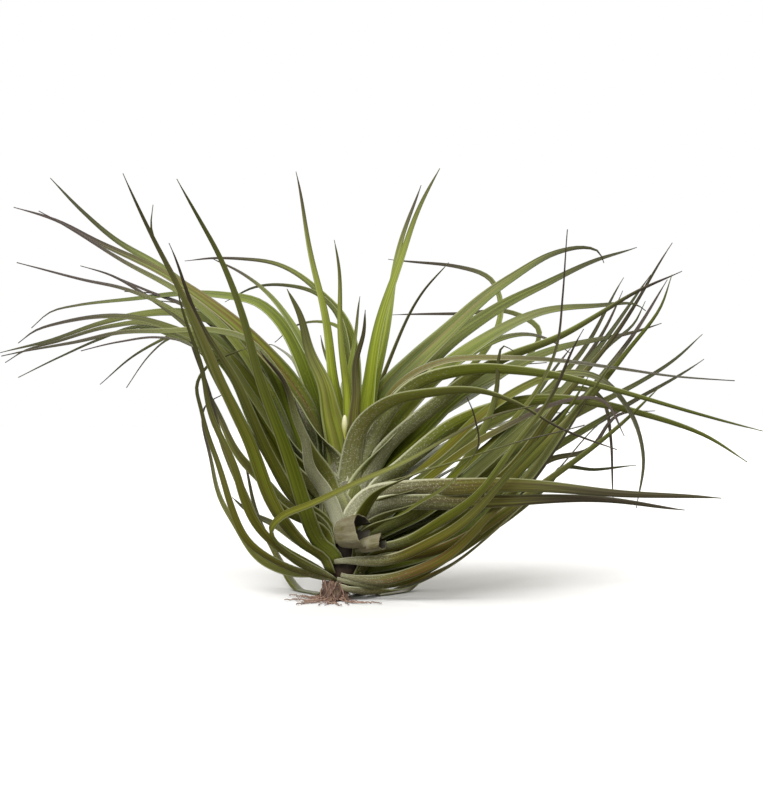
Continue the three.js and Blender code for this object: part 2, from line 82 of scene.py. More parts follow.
# How a blade is bent across: the half angle of its channel at the tip in degrees, how the channel
# fades to that, the radius of its sheath, over what length this gives way to the channel, and what
# share of that radius half a sheath takes at most.
TIP_CHANNEL = 10
CHANNEL_FADE = 1.5
SHEATH_ROUND = 15
ROUND_RUN = 20
WRAP_MOST = 0.95

# How a blade turns along its line: over what length it turns from the stem to its own slant, how
# far its face looks up at the stem and in its own slant, and how fast its twist comes in. The
# slant is read a third of the way out, on a line cut into segments of about this length.
SHEATH_TURN = 34
CLASP_LEAN = 0.25
UP_LEAN = 0.6
TWIST_RATE = 3
SEGMENT_LENGTH = 16
SEGMENT_RANGE = (5, 11)

# How many times a leaf sways from side to side, and how much thinner it is at its tip.
WAVES = (1.5, 3)
TIP_THINNING = 0.5

# Where a sheath clasps the bulb: how far the leaf is clear of the bulb where it leaves it, how far
# below that the sheath ends, the levels that it keeps between, how far its foot is sunk in, how
# far its middle stands off, and the share of its turns that it makes up to its middle and, where
# no direction is given, towards the front or the back.
CLEAR_OF_BULB = 0.5
SHEATH_DROP = 3
SHEATH_TOP = 40
FOOT_FLOOR = 6.2
MIDDLE_FLOOR = 6.8
FOOT_SUNK = -0.8
MIDDLE_LIFT = 0.3
MIDDLE_TURN = 0.35
FACING_TURN = 0.4

# Each kind of leaf: how wide its root and its sheath are beside the blade, over what length the
# sheath narrows to the blade, how deep its channel is in degrees, the two powers by which it
# narrows, how far up its silvery scales reach, the share of the bulb's radius at which its sheath
# clasps, and how high the sheath is.
Kind = namedtuple("Kind", "root sheath sheath_run channel fullness taper silver_run hold clasp")
HEART = Kind(1, 1.2, 30, 34, fullness=1, taper=1.1, silver_run=62, hold=0.35, clasp=8)
UPPER = Kind(1, 1.35, 40, 8, fullness=1.6, taper=1.9, silver_run=74, hold=0.7, clasp=14)
OUTER = Kind(0.7, 1.1, 30, 17, fullness=1.3, taper=1.55, silver_run=60, hold=0.95, clasp=12)
LOWER = Kind(0.35, 1, 26, 24, fullness=1.2, taper=1.4, silver_run=30, hold=1, clasp=4)
SHEATH = Kind(1, 1, 1, 40, fullness=1, taper=1.1, silver_run=62, hold=1, clasp=0)

# Leaf lines: blade width, how far the tip lies behind the stem, twist in degrees, and the
# midline from root to tip as x, z pairs.

# Young upright leaves in the heart.
HEART_LEAVES = [
    [4.5, 6, 0, [0.5, 40.5, -2, 60, -5.5, 81, -9.5, 102.5, -13, 118.5, -15, 128.5]],
    [7.5, -4, 20, [-1, 42, -5, 59.5, -10, 74.5, -14, 85.5, -17, 93.5]],
    [3.5, -8, 0, [1, 42, 0.5, 60, -1, 82.5, -2, 97.5, -3.5, 108]],
    [3, 4, 0, [1.5, 43.5, 1.5, 63, 2.5, 78, 5, 91]],
    [4.5, -14, 0, [2.5, 42, 3, 60, 4, 73.5, 6.5, 87]],
    [6.5, -6, 0, [4, 40.5, 6.5, 60, 9.5, 76.5, 14, 94.5, 20, 111.5, 28.5, 129.5]],
    [5, 14, 0, [5, 40.5, 8.5, 63, 13, 87, 17, 106.5, 22.5, 124.5]],
    [3, 30, 0, [5, 43.5, 10, 63, 16.5, 79.5, 23.5, 92, 31, 101.5]],
    [3, 16, 0, [-0.5, 43.5, -2.5, 61.5, -7, 79.5]],
]

# Broad leaves that leave the stem high up and arch outwards.
UPPER_LEAVES = [
    [4.5, 45, 20, [2, 42, 3.5, 66, 0, 84.5, -9, 94, -19.5, 100, -30, 102.5, -39, 103, -48, 101.5]],
    [4, 28, 20, [1.5, 40.5, 2, 63, -1, 84, -8, 91.5, -18, 94, -27, 93.5, -36, 89.5]],
    [3.5, 60, 20, [1.5, 40.5, 2.5, 63, -1, 80.5, -7.5, 83.5, -15, 82.5, -21, 77.5]],
    [5.5, 20, 20, [-1, 39, -6, 63, -12.5, 78, -19.5, 87.5, -27, 95, -33, 99.5, -40, 103]],
    [8, 12, 50, [-1.5, 25.5, -12.5, 46.5, -22.5, 69.5, -36, 84.5, -54, 98.5, -67.5, 107, -78,
      116.5, -88.5, 126.5]],
    [9, -12, 50, [-0.8, 32.5, -4.2, 42.5, -8.2, 51.5, -13, 60.5, -20, 69.5, -33, 83.5, -52.5, 96.5,
      -73.5, 107.5, -85.5, 113.5, -99.5, 117.5]],
    [7.5, -22, 50, [-3, 24, -13.5, 43.5, -23, 63, -35, 79.5, -50, 92.5, -67.5, 102.5, -79.5, 109.5,
      -92, 116.5]],
    [6, 30, 40, [-1.5, 39, -9, 60, -16.5, 79.5, -25.5, 88.5, -36, 91, -49.5, 92, -64.5, 90.5, -81,
      88, -88.5, 86, -94, 81.5]],
    [9.5, 16, 60, [3, 36, 9, 55.5, 21, 72, 36, 85.5, 49.5, 96, 61.5, 104, 71, 106, 76, 104.5, 77.5,
      101]],
    [9, 34, 50, [4, 33, 13.5, 55.5, 28.5, 74.5, 45, 87.5, 61.5, 95, 76, 102.5, 87.5, 106]],
    [9.5, -8, 60, [4, 31.5, 15, 52.5, 28.5, 68.5, 43.5, 79.5, 58.5, 86, 75, 88, 87, 89, 90.5, 87]],
    [8, 28, 40, [4, 33, 15, 54, 30, 69.5, 43.5, 77, 55.5, 79.5, 63, 77.5, 68, 74]],
    [7, -20, -45, [5, 30, 8.5, 39, 14.5, 47.5, 28.5, 60, 46.5, 71.5, 64.5, 79.5, 78, 86.5, 90,
      93.5, 101, 99]],
    [8, 10, 50, [4.5, 28.5, 19.5, 48, 37.5, 63.5, 55.5, 72.5, 73.5, 77.5, 85.5, 80.5, 95, 83]],
    [6, -30, 40, [3, 33, 7.5, 51, 16, 64.5, 28.5, 71, 46.5, 72.5, 64.5, 72, 81, 69.5, 97.5, 67,
      117, 66]],
    [6.5, -46, -35, [3.5, 30, 10, 50.5, 21, 64.5, 37.5, 69.5, 58.5, 68, 79.5, 63, 100.5, 57.5,
      125.5, 51]],
    [5.8, -66, -30, [1.5, 36, 4.5, 50.5, 13, 59, 25.5, 62.5, 39, 63, 51, 59, 64.5, 51.5, 81.5,
      45.5]],
]

# Leaves of the middle of the stem, out to the long threads on both sides.
OUTER_LEAVES = [
    [5.2, -72, -45, [-4, 8.5, -12.5, 16.5, -22.5, 30, -30, 50.5, -39, 70.5, -47.5, 87.5, -54.5,
      103, -60.5, 116, -66.5, 128]],
    [5.2, -84, -45, [-2, 11.5, -7.5, 17, -13, 30, -19, 48, -25, 66.5, -30, 83.5, -37.5, 101.5,
      -43.5, 113.5, -50, 126.5]],
    [4, -58, -50, [-4.5, 10.5, -20, 28.5, -31.5, 52.5, -42, 75, -52, 97.5, -57.5, 110.5, -57,
      118.5]],
    [4.5, -50, -50, [-4, 12, -16.5, 31.5, -27, 54, -37.5, 73.5, -47.5, 92.5, -53, 107]],
    [6, -30, 40, [-3.5, 19.5, -14.5, 39, -27, 60, -39, 76.5, -53, 87.5, -66, 93.5, -79.5, 96.5,
      -98.5, 101]],
    [5, 8, 40, [-3.5, 16.5, -13.5, 33, -25, 52.5, -37, 72, -49.5, 84.5, -61.5, 92.5, -70, 97,
      -79.5, 100]],
    [5, 24, 40, [-2.5, 22.5, -12, 40.5, -23, 61.5, -34, 76.5, -46.5, 87, -58.5, 92.5, -71.5,
      98.5]],
    [6.5, -14, 50, [-3.5, 21, -14, 41.5, -25, 60.5, -37.5, 75.5, -51, 81, -64.5, 84.5, -75, 85,
      -85.5, 83.5, -93, 81, -98, 77]],
    [7, 27, 50, [-2.5, 28.5, -13, 49.5, -24, 69, -37, 82.5, -49.5, 86.5, -61.5, 86, -73.5, 83,
      -88.5, 77.5, -103.5, 74]],
    [6, 4, 50, [-3.5, 15, -15, 33, -26, 51, -35, 68.5, -46.5, 79, -58.5, 83.5, -70.5, 82, -85.5,
      77.5, -96, 75, -102, 71.5]],
    [6.5, -48, 50, [-3.5, 24, -10.5, 45, -18, 64.5, -28.5, 77.5, -39, 80.5, -52.5, 80.5, -67.5,
      80.5, -82.5, 77, -103, 73]],
    [5, 32, 40, [-3.5, 16.5, -14, 34.5, -25, 55.5, -36, 70.5, -49.5, 78, -61.5, 82, -73.5, 78.5,
      -85.5, 73, -98, 66.5]],
    [5, -42, 40, [-3.5, 13.5, -16, 30, -27, 48, -36, 64.5, -46.5, 76.5, -57, 79, -67.5, 77.5, -79,
      74.5]],
    [4.5, 46, 40, [-3.5, 18, -13.5, 39, -25, 61.5, -36, 76.5, -46.5, 81, -55.5, 77.5, -64.5, 72.5,
      -73.5, 65]],
    [4.5, 62, 40, [-3.5, 19.5, -13.5, 40.5, -24, 61.5, -34, 76.5, -43.5, 81.5, -53, 78.5, -58.5,
      73.5, -65.5, 63.5]],
    [4, -72, 20, [2, 23.5, 9, 31, 19.5, 37, 34.5, 42, 52.5, 47.5, 72, 52.5]],
    [7.5, -34, -50, [6, 29, 10, 33, 17.5, 40, 33, 53, 52.5, 59, 70.5, 59.5, 88.5, 56.5, 106.5, 50,
      120.5, 41]],
    [5.5, 24, 60, [5, 16.5, 25.5, 28.5, 46.5, 41.5, 64.5, 52.5, 82.5, 62.5, 99, 72.5, 107.5,
      79.5]],
    [5.5, 32, 60, [5, 15, 25.5, 25.5, 49.5, 37.5, 67.5, 49, 85.5, 58.5, 107.5, 72.5]],
    [5.5, -6, -60, [5, 10.5, 25.5, 21, 46.5, 36.5, 64.5, 58.5, 78, 76, 88.5, 91, 98.5, 107]],
    [6, 14, 60, [5, 6, 28.5, 15, 49.5, 31.5, 67.5, 54, 82.5, 74.5, 97, 96]],
    [5.5, -26, -65, [5, 10, 28.5, 20, 49.5, 36, 69, 55.5, 84, 74.5, 94.5, 87.5, 98.5, 97.5]],
    [5.5, 34, 60, [5, 12, 25.5, 24, 46.5, 41.5, 63, 58.5, 78, 75, 87, 82.5, 90.5, 89.5]],
    [6, 10, 60, [5, 13.5, 25.5, 27, 46.5, 45, 64.5, 62.5, 79.5, 79.5, 92, 97.5]],
    [5.5, 52, 60, [5, 15, 24, 27, 43.5, 43.5, 60, 61.5, 73, 78, 84, 96.5]],
    [5.5, 66, 60, [5, 15, 25.5, 30, 48, 46.5, 64.5, 61.5, 76.5, 78.5, 83, 93]],
    [3.6, -58, 60, [5, 16.5, 22.5, 30, 40.5, 43.5, 55.5, 60, 63, 75, 65.5, 91.5, 67, 111]],
    [5, 58, 10, [4, 36, 16.5, 51, 33, 64.5, 43.5, 76.5, 46.5, 87, 43.5, 96, 33, 100.5, 13, 102]],
    [4.5, 70, 10, [4, 34.5, 22.5, 51, 43.5, 64.5, 57, 75, 58.5, 81.5, 49.5, 86.5, 34.5, 85.5, 14,
      85.5]],
    [6, -24, -55, [5, 18, 22.5, 27, 35, 39, 41.5, 51, 45, 63, 46, 72, 47.5, 76, 50.5, 74.5]],
    [3, -64, 55, [5, 19.5, 19.5, 27, 33, 36.5, 40, 46.5, 39, 55.5, 36.5, 60.5]],
    [5, -38, 65, [5, 22.5, 22.5, 39, 43.5, 57, 64.5, 68, 76.5, 67, 85, 57.5, 89, 43.5, 87.5,
      27.5]],
    [4.5, 22, 65, [5, 22.5, 22.5, 36, 43.5, 52.5, 64.5, 63, 76, 61, 80, 48, 80.5, 29]],
    [4.5, -50, 60, [5, 21, 22.5, 34.5, 43.5, 49.5, 64.5, 59.5, 77, 59.5, 83.5, 49]],
    [7.6, -64, -60, [1.5, 26.5, 8, 30.5, 21, 33.5, 40.5, 34, 64.5, 33.5, 88.5, 32, 113, 30]],
    [7, -52, -60, [1.5, 23, 10, 27.5, 24, 29, 43.5, 30, 64.5, 30, 82.5, 29.5, 102, 27.5]],
    [5, 24, 60, [3, 21, 16.5, 26.5, 31.5, 36, 48, 50.5, 60, 64.5, 68, 76.5]],
    [6, 56, 60, [3, 16.5, 18, 22, 33, 30, 49.5, 42, 64.5, 55.5, 76.5, 64.5]],
    [4.8, -44, -50, [-1.5, 25, -6.3, 33.5, -11, 41, -12.5, 49.5, -15.5, 58, -20.5, 68.5, -25, 75]],
]

# Old leaves that hang from the foot of the stem and curl up round the rosette.
LOWER_LEAVES = [
    [3, 40, 60, [-6, 7, -18, 8.5, -28, 15, -35, 26, -39.5, 39, -42.5, 51.5, -41.5, 58, -35, 62.5]],
    [3.2, -30, -60, [-6, 6.5, -18, 10, -28, 17, -34.5, 28.5, -39, 43.5, -42.5, 56.5, -44.5, 64.5,
      -42, 70, -36, 73.5, -28.5, 75.5]],
    [3.8, -46, -60, [-5, 7, -14, 11, -23, 18.5, -30, 30, -35, 43.5, -40, 57, -43, 68.5, -46.5,
      79.5, -50, 94.5]],
    [3.4, 20, 60, [-6, 9, -16, 13.5, -25, 21, -31.5, 33.5, -36.5, 48, -41, 61.5, -45, 75, -48.5,
      88.5]],
    [4.4, 50, 60, [-6, 16.5, -16.5, 27.5, -27, 38, -34.5, 48.5, -40, 59.5, -43.5, 72, -47, 82.5]],
    [4.5, 10, 60, [-4, 11.5, -13.5, 17.5, -23, 23.5, -29.5, 27.5, -34, 30.5]],
    [3.8, -62, -45, [-3.5, 7, -13.5, 11.5, -20.5, 17, -22.5, 21.5, -18.5, 26, -10.5, 29, 1.5, 34,
      16.5, 41, 30, 48.5, 43.5, 54.5, 58.5, 58.5]],
    [4.4, -30, -65, [4.5, 8, 25.5, 14, 46.5, 25.5, 64.5, 38, 80, 51, 95, 64]],
    [4.5, 40, 60, [4, 4.5, 25.5, 10.5, 46.5, 23, 61, 35.5, 65, 40, 75, 39, 87.5, 40]],
    [4.2, -12, -75, [1, 3.2, 8, 2.5, 16.5, 3.2, 31.5, 10, 48, 23.5, 63, 38, 76.5, 53, 88.5, 60.5]],
    [4.5, 20, 65, [1.5, 4, 15, 7.5, 30, 16, 48, 31.5, 61.5, 42.5, 73.5, 45.5, 82, 55, 93, 57]],
    [4, -44, -75, [1, 5, 13.5, 6, 28.5, 12.5, 46.5, 28, 61.5, 46.5, 73.5, 61.5, 80, 72]],
    [5, 46, 60, [1.5, 8, 13.5, 12.5, 28.5, 22, 46.5, 39.5, 61.5, 58.5, 70.5, 67.5, 76.5, 76.5]],
    [4.2, -58, -65, [0.5, 11.5, 4, 11.5, 14, 12, 28.5, 18.5, 46.5, 34.5, 61.5, 51, 73.5, 67.5]],
    [3.4, -70, -60, [2, 15, 8, 15.5, 19.5, 18, 34.5, 27.5, 49.5, 43.5, 61.5, 61.5, 72, 81]],
    [4, -22, -70, [2, 4, 16.5, 5, 34.5, 14.5, 52.5, 31.5, 66, 49.5, 74, 61.5]],
]

# What sets single leaves apart, by place in the list: where the sheath clasps the bulb in degrees
# from +X, the level of its foot where that shows in the open front, and how silvery, how dried and
# how old the leaf is, as a share that may pass 1.
Marks = namedtuple("Marks", "facing foot silvery dried age")
UPPER_MARKS = Marks(
    facing={5: -100, 6: -112, 12: -72, 14: -75, 15: -60, 16: -86},
    foot={},
    silvery={5: 0.4, 6: 0.5, 12: 1.3, 14: 0.4, 15: 0.9, 16: 0.5},
    dried={5: 0.7, 14: 0.5},
    age={14: 0.9},
)
OUTER_MARKS = Marks(
    facing={0: -133, 1: -105, 16: -58, 34: -82, 35: -74, 38: -98},
    foot={0: 8.4, 1: 11.7, 34: 22, 35: 18},
    silvery={0: 0.05, 1: 0.05, 16: 1.2, 34: 1, 35: 1, 38: 2.2},
    dried={0: 0.3, 19: 0.5, 21: 0.7},
    age={0: 0.3, 1: 0, 31: 0.9, 33: 0.9, 34: 1.2, 35: 1.2, 36: 0},
)
LOWER_MARKS = Marks(
    facing={6: -120, 7: -50, 9: -122, 11: -100, 13: -112, 14: -66, 15: -114},
    foot={7: 9, 9: 5.2, 11: 8, 13: 12, 14: 15, 15: 6.6},
    silvery={9: 0.7, 11: 0.6, 13: 0.9, 14: 0.8, 15: 0.6},
    dried={3: 0.5, 7: 0.6, 9: 0.8, 11: 0.7},
    age={6: 0.4, 14: 0.2},
)

# The pieces of traced leaves: their lines, kind, marks, usual age, the seed of their looks and the
# seed of their sway.
Traced = namedtuple("Traced", "lines kind marks age seed sway_seed")
TRACED = {
    "upper_leaf_blades": Traced(UPPER_LEAVES, UPPER, UPPER_MARKS, 0.2, 21, 22),
    "outer_leaf_blades": Traced(OUTER_LEAVES, OUTER, OUTER_MARKS, 0.4, 41, 42),
    "lower_leaf_blades": Traced(LOWER_LEAVES, LOWER, LOWER_MARKS, 0.7, 51, 52),
}

# How far a leaf's age and twist stray, and how rare and how strong the dried and silvery parts of
# leaves without marks are.
AGE_SPREAD = 0.2
TWIST_SPREAD = 8
DRIED_RARITY = 4
SILVERY_RARITY = 3
MARK_MOST = 0.4

# Where the sheaths of the heart's leaves face, in degrees from +X, how dull some of them are, and
# where all of them start.
HEART_FACINGS = [-75, 100, -95, 90, -80, 115, 95, -55, -100]
HEART_DULL = {1: 0.6, 4: 1, 7: 0.8}
HEART_ROOT_SHARE = 0.4
HEART_ROOT_LEVEL = 40
HEART_SEED, HEART_SWAY_SEED = 11, 12

# The pale bud in front of the heart, the width of its foot, how high up it is widest, and its
# faces round and along.
BUD_X, BUD_Y, BUD_LEVEL, BUD_HEIGHT, BUD_RADIUS = 0.1, -4.5, 48, 7.6, 1.0
BUD_FOOT = 0.35
BUD_SHOULDER = 0.65
BUD_STEPS = (16, 12)

# Leaves at the back of the rosette, spread by the golden section over the half turn behind it:
# their directions in degrees from +X, root levels, reach, widths, the levels of their tips, the
# points along them, and their looks.
BACK_COUNT = 18
BACK_SEED, BACK_SWAY_SEED = 77, 62
BACK_DIRECTION = (22, 158)
BACK_ROOT = (10, 36)
BACK_REACH = (66, 92)
BACK_WIDTH = (5.5, 7)
BACK_TWIST = (-15, 15)
BACK_LEFT_TIP = (54, 68)
BACK_LEFT_TIP_RISE = 34
BACK_RIGHT_TIP = (44, 78)
BACK_SHARES = [0.08, 0.25, 0.45, 0.65, 0.85, 1]
BACK_ARCH = 1.2
BACK_START = 2
BACK_AGE = (0.2, 0.6)
BACK_DRIED_RARITY = 5
GOLDEN_SECTION = 0.618034

# The numbers behind the draws that placed the back leaves of the solids.
DRAW_STEP, DRAW_RANGE = 16807, 2147483647

# Low leaves behind the foot, which dip to the floor before they curl up: their directions in
# degrees from +X, the distance and height of the points along them, and their looks. Every leaf
# stays this far above the floor.
REST_DIRECTIONS = [48, 72, 96, 122]
REST_ARC = [(1, 10), (7, 5), (13, 1), (20, -0.4), (30, 1.5), (44, 10), (60, 28), (68, 42)]
REST_WIDTH = 5
REST_SEED = 5
REST_AGE = (0.6, 0.9)
REST_DRIED_RARITY = 3
FLOOR_CLEARANCE = 0.3

# The short sheaths that wrap the bulb between the leaves: the levels of their feet, their rise and
# their looks. Each line has four points, at shares of its rise and of the bulb's radius. The upper
# two stray sideways, in radians, and stand off.
SHEATH_COUNT = 30
SHEATH_SEED, SHEATH_SWAY_SEED = 31, 32
SHEATH_LEVELS = (8, 31)
SHEATH_RISE = (12, 18)
SHEATH_WIDTH = (9, 11)
SHEATH_AGE = (0.2, 0.6)
SHEATH_SILVERY = (0.1, 0.5)
SHEATH_LINE = [(0, 0.74), (0.4, 0.86), (0.75, 0.88), (1, 0.9)]
SHEATH_STRAYS = (0.15, 0.3)
SHEATH_LIFT = 0.6
SHEATH_END_LIFT = (0.3, 1)

# The open hollow in the front of the foot, where old sheaths have gone: how high it goes, and the
# sine of the direction that its sides face.
HOLLOW_TOP = 21
HOLLOW_FRONT = -0.45

# The papery scales, torn-off bases of old leaves, in the open front of the foot: the middle of
# the foot and of the mouth of each, and its radius.
SCALES = {
    "left_dry_scale": ((-1.2, -9.5, 20.6), (6.2, -13.5, 22), 4.7),
    "right_dry_scale": ((5, -10.8, 17.1), (11.6, -13.3, 18.8), 2.3),
}

# A scale is a sheet curled into a cup: how far round it curls to each side in degrees, which way
# its middle faces, the width of its foot, the depth, waves and raggedness of the tears in its rim,
# the depth and waves of its crumpling, how far these are shifted from one scale to the other in
# radians, its faces round and along, its thickness, and how bright it is outside and inside, where
# it is darkened as painted shade.
SCALE_CURL = 172
SCALE_FACING = (-0.55, -1, -0.25)
SCALE_FOOT = 0.7
SCALE_TEAR = 0.16
TEAR_WAVES = 9
TEAR_RAGGED = 0.2
SCALE_CRUMPLE = 0.25
CRUMPLE_WAVES = (3, 7)
SCALE_PHASES = 6
SCALE_STEPS = (40, 24)
SCALE_THICKNESS = 0.35
SCALE_SEED = 70
SCALE_BRIGHTNESS = 1
SCALE_INSIDE_PAINTED_SHADE = 0.15

# The woody stub, and the lumps round it: their size, number and slant.
STUB_X, STUB_Y = -3, -0.5
STUB_PROFILE = [(3.4, 0), (3.9, 0.8), (3.7, 2), (3.3, 3.2), (3.5, 4.6), (2.8, 5.6)]
STUB_SIDES = 48
STUB_LUMPS = [(0.1, 3, 1), (0.07, 7, -1.4)]

# The roots' forms: the steps along them, how much they thin out, how far they wander, and how
# finely they are rounded. A root begins to wander over its first steps, and lifts as it does.
RootForm = namedtuple("RootForm", "steps taper wander round")
MAIN_FORM = RootForm(30, 0.6, 1.0, 3)
STRAND_FORM = RootForm(16, 0.5, 0, 2)
HAIR_FORM = RootForm(26, 0.5, 0.8, 2)
WANDER_FADE = 4
WANDER_LIFT = 0.35
ROOT_SEED = 81

# The routes of the main roots along the floor.
ROOT_RADIUS = 0.33
ROOT_START_LEVEL = 1.05
ROOTS = [
    [(-3, -3), (-4.5, -8), (-2.5, -12), (-1, -16)],
    [(-1, -3), (2, -8), (6, -10), (9, -9), (11, -12)],
    [(-5, -2), (-10, -4), (-13, -2), (-18, -3)],
    [(-5, 1), (-9, 3), (-13, 5), (-17, 9)],
    [(-4, -3), (-8, -8), (-12, -10), (-14, -14)],
]

# Strands of old root that hang down over the stub: how far out they lie at their top, how much
# further at their foot, how loose they are, and how far they bend in radians.
STRAND_COUNT = 26
STRAND_LEVELS = [6, 4.4, 2.6, 1, 0.3]
STRAND_RADIUS = (0.08, 0.22)
STRAND_REACH = 3.4
STRAND_SPREAD = 1.4
STRAND_LOOSE = 0.5
STRAND_BEND = 0.25

# Fine roots that spread over the floor: their directions in degrees from +X, how far they reach,
# the levels that they start from, and how they bend and fall from point to point.
HAIR_DIRECTIONS = (150, 330)
HAIR_REACH = (7, 13)
HAIR_START = (0.4, 3)
HAIR_STRETCHES = 5
HAIR_BEND = 0.45
HAIR_FALL = 0.45

# The studio, in metres and degrees: a lens of 72 mm takes in 240 mm at the plant. Each light has
# its strength, its softness and the way it is turned.
LENS = 72
SENSOR_WIDTH = 36
FLOOR_RADIUS = 3
FLOOR_SIDES = 64
LIGHTS = {"Key light": (4.0, 45, (44, -18, 0)), "Back light": (1.2, 60, (-50, 15, 0))}
SKY_STRENGTH = 0.34
SKY_COLOUR = (1, 0.96, 0.85)
WHITE = (1, 1, 1)


# ---- Settings that a user would change -------------------------------------------------------


class AirPlantLeafSettings(bpy.types.PropertyGroup):
    """Sizes of the leaves' blades and the fineness of their meshes"""

    midrib_thickness: FloatProperty(
        name="Midrib thickness", description="Thickness of a leaf along its middle",
        default=0.0006, min=0.0003, max=0.002, unit="LENGTH", precision=5)
    margin_share: FloatProperty(
        name="Margin share", description="Thickness of a leaf's margin as a share of its middle's",
        default=0.35, min=0.1, max=1, subtype="FACTOR")
    tip_width: FloatProperty(
        name="Tip width", description="Width of the thread that a leaf ends in",
        default=0.0003, min=0.0002, max=0.002, unit="LENGTH", precision=5)
    sway: FloatProperty(
        name="Sway", description="How far a leaf wanders from its traced midline",
        default=0.0005, min=0, max=0.003, unit="LENGTH", precision=5)
    steps_along: IntProperty(
        name="Steps along", description="Faces along each leaf", default=56, min=12, max=120)
    steps_across: IntProperty(
        name="Steps across", description="Faces across each leaf", default=8, min=4, max=24)


class AirPlantRootSettings(bpy.types.PropertyGroup):
    """Sizes of the roots"""

    hair_count: IntProperty(
        name="Fine roots", description="Number of fine roots between the main ones",
        default=16, min=0, max=60)
    hair_radius: FloatProperty(
        name="Fine root radius", description="Radius of a fine root",
        default=0.00016, min=0.00005, max=0.0005, unit="LENGTH", precision=5)


def colour_property(name, description, default):
    return FloatVectorProperty(
        name=name, description=description, default=default, size=3, min=0, max=1,
        subtype="COLOR")


class AirPlantColourSettings(bpy.types.PropertyGroup):
    """Colours of the leaves, scales and roots"""

    green: colour_property("Leaf green", "Upper face of a green leaf", (0.150, 0.192, 0.010))
    deep_green: colour_property("Deep green", "Shaded patches of a leaf", (0.050, 0.070, 0.005))
    # Darker than the upper face: partly the underside's own olive, partly painted shade on the
    # undersides that face downwards.
    under_green: colour_property(
        "Underside green", "Underside of a green leaf", (0.128, 0.145, 0.012))
    silver: colour_property("Silver", "Fine scales on the sheaths", (0.50, 0.50, 0.36))
    old_leaf: colour_property("Old leaf", "Olive brown of old leaves", (0.105, 0.083, 0.012))
    dried: colour_property("Dried streak", "Dried streaks of a leaf", (0.205, 0.098, 0.038))
    # Partly the leaf's own pale edge colour, partly a painted highlight along its edges.
    margin: colour_property("Margin", "Pale edge of a leaf", (0.45, 0.48, 0.24))
    tip: colour_property("Tip", "Purple brown thread at a leaf's end", (0.068, 0.050, 0.037))
    # Lighter than the other greens: partly the young leaves' own colour, partly painted glow of
    # light shining through the thin leaves.
    heart_green: colour_property("Heart green", "Young leaves of the heart", (0.25, 0.30, 0.025))
    heart_yellow: colour_property("Heart yellow", "Foot of the young leaves", (0.42, 0.42, 0.03))
    heart_dull: colour_property("Dull heart leaf", "Dull faces in the heart", (0.13, 0.105, 0.035))
    paper: colour_property("Papery scale", "Torn bases of old leaves", (0.160, 0.132, 0.070))
    bark: colour_property("Stub bark", "Fibrous stub", (0.17, 0.10, 0.07))
    root: colour_property("Root", "Wiry roots", (0.34, 0.215, 0.155))
    # Near black: a dark brown of bark and dead sheaths, and painted shade in the foot and inside
    # scales.
    dark_brown_and_shade: colour_property("Dark sheath", "Dead sheaths in the foot", (0.009, 0.007, 0.005))
    floor: colour_property("Floor", "Surface that the plant rests on", (0.93, 0.93, 0.93))


# ---- Lines and frames ------------------------------------------------------------------------


def between(ends, share):
    return ends[0] + (ends[1] - ends[0]) * share


def clamp(value, low, high):
    return max(low, min(high, value))


def ease(value):
    """A smooth step from 0 to 1."""
    value = clamp(value, 0, 1)
    return value * value * (3 - 2 * value)


def square_to(vector, axis):
    """The part of a vector across an axis, made one long."""
    return (vector - axis * vector.dot(axis)).normalized()


def at_depth(x, z, y):
    """A point of a midline, moved along the sight line to its depth."""
    nearer = (SIGHT_DISTANCE + y) / SIGHT_DISTANCE
    return Vector((SIGHT_X + (x - SIGHT_X) * nearer, y, SIGHT_Z + (z - SIGHT_Z) * nearer))


def smooth_line(points, steps=16):
    """Points along a smooth curve through the given ones, closer where these are close."""
    ends = [points[0] * 2 - points[1], *points, points[-1] * 2 - points[-2]]
    line = []
    for before, start, end, after in zip(ends, ends[1:], ends[2:], ends[3:]):
        stretches = (before, start), (start, end), (end, after)
        gaps = [math.sqrt((b - a).length) for a, b in stretches]
        leaving = tangent_between(before, start, end, gaps[0], gaps[1]) * gaps[1]
        arriving = tangent_between(start, end, after, gaps[1], gaps[2]) * gaps[1]
        for i in range(steps):
            t = i / steps
            bend = (end - start) * 3 - leaving * 2 - arriving
            close = (start - end) * 2 + leaving + arriving
            line.append(start + leaving * t + bend * t * t + close * t ** 3)
    return [*line, points[-1].copy()]


def tangent_between(a, b, c, first_gap, second_gap):
    return (b - a) / first_gap - (c - a) / (first_gap + second_gap) + (c - b) / second_gap


def runs_along(points):
    """How far along its line each point lies."""
    runs = [0]
    for a, b in zip(points, points[1:]):
        runs.append(runs[-1] + (b - a).length)
    return runs


def evenly_spaced(line, count):
    """A line cut into equal steps."""
    runs = runs_along(line)
    places, i = [], 0
    for step in range(count + 1):
        wanted = runs[-1] * step / count
        while i < len(line) - 2 and runs[i + 1] < wanted:
            i += 1
        share = (wanted - runs[i]) / max(runs[i + 1] - runs[i], SHORTEST)
        places.append(line[i].lerp(line[i + 1], clamp(share, 0, 1)))
    return places


def directions_along(line):
    last = len(line) - 1
    return [(line[min(i + 1, last)] - line[max(i - 1, 0)]).normalized() for i in range(last + 1)]


def draws_from(seed):
    """Repeatable draws between 0 and 1, the same as those that placed the solids' leaves."""
    state = seed
    while True:
        state = state * DRAW_STEP % DRAW_RANGE
        yield state / DRAW_RANGE


# ---- Leaf form -------------------------------------------------------------------------------

# A leaf: blade width, spine, twist in degrees, kind, the direction in radians that its sheath
# faces, and its tint: how dark, how old, how dried and how silvery it is.
Leaf = namedtuple("Leaf", "width spine twist kind facing tint")
Layers = namedtuple("Layers", "tint silver thick")


def bulb_radius(height):
    for (r0, z0), (r1, z1) in zip(BULB, BULB[1:]):
        if height < z1:
            return between((r0, r1), clamp((height - z0) / (z1 - z0), 0, 1))
    return 0


def on_bulb(facing, height, share, lift=0):
    radius = bulb_radius(height) * share + lift
    return Vector((radius * math.cos(facing), BULB_SET_BACK + radius * math.sin(facing), height))


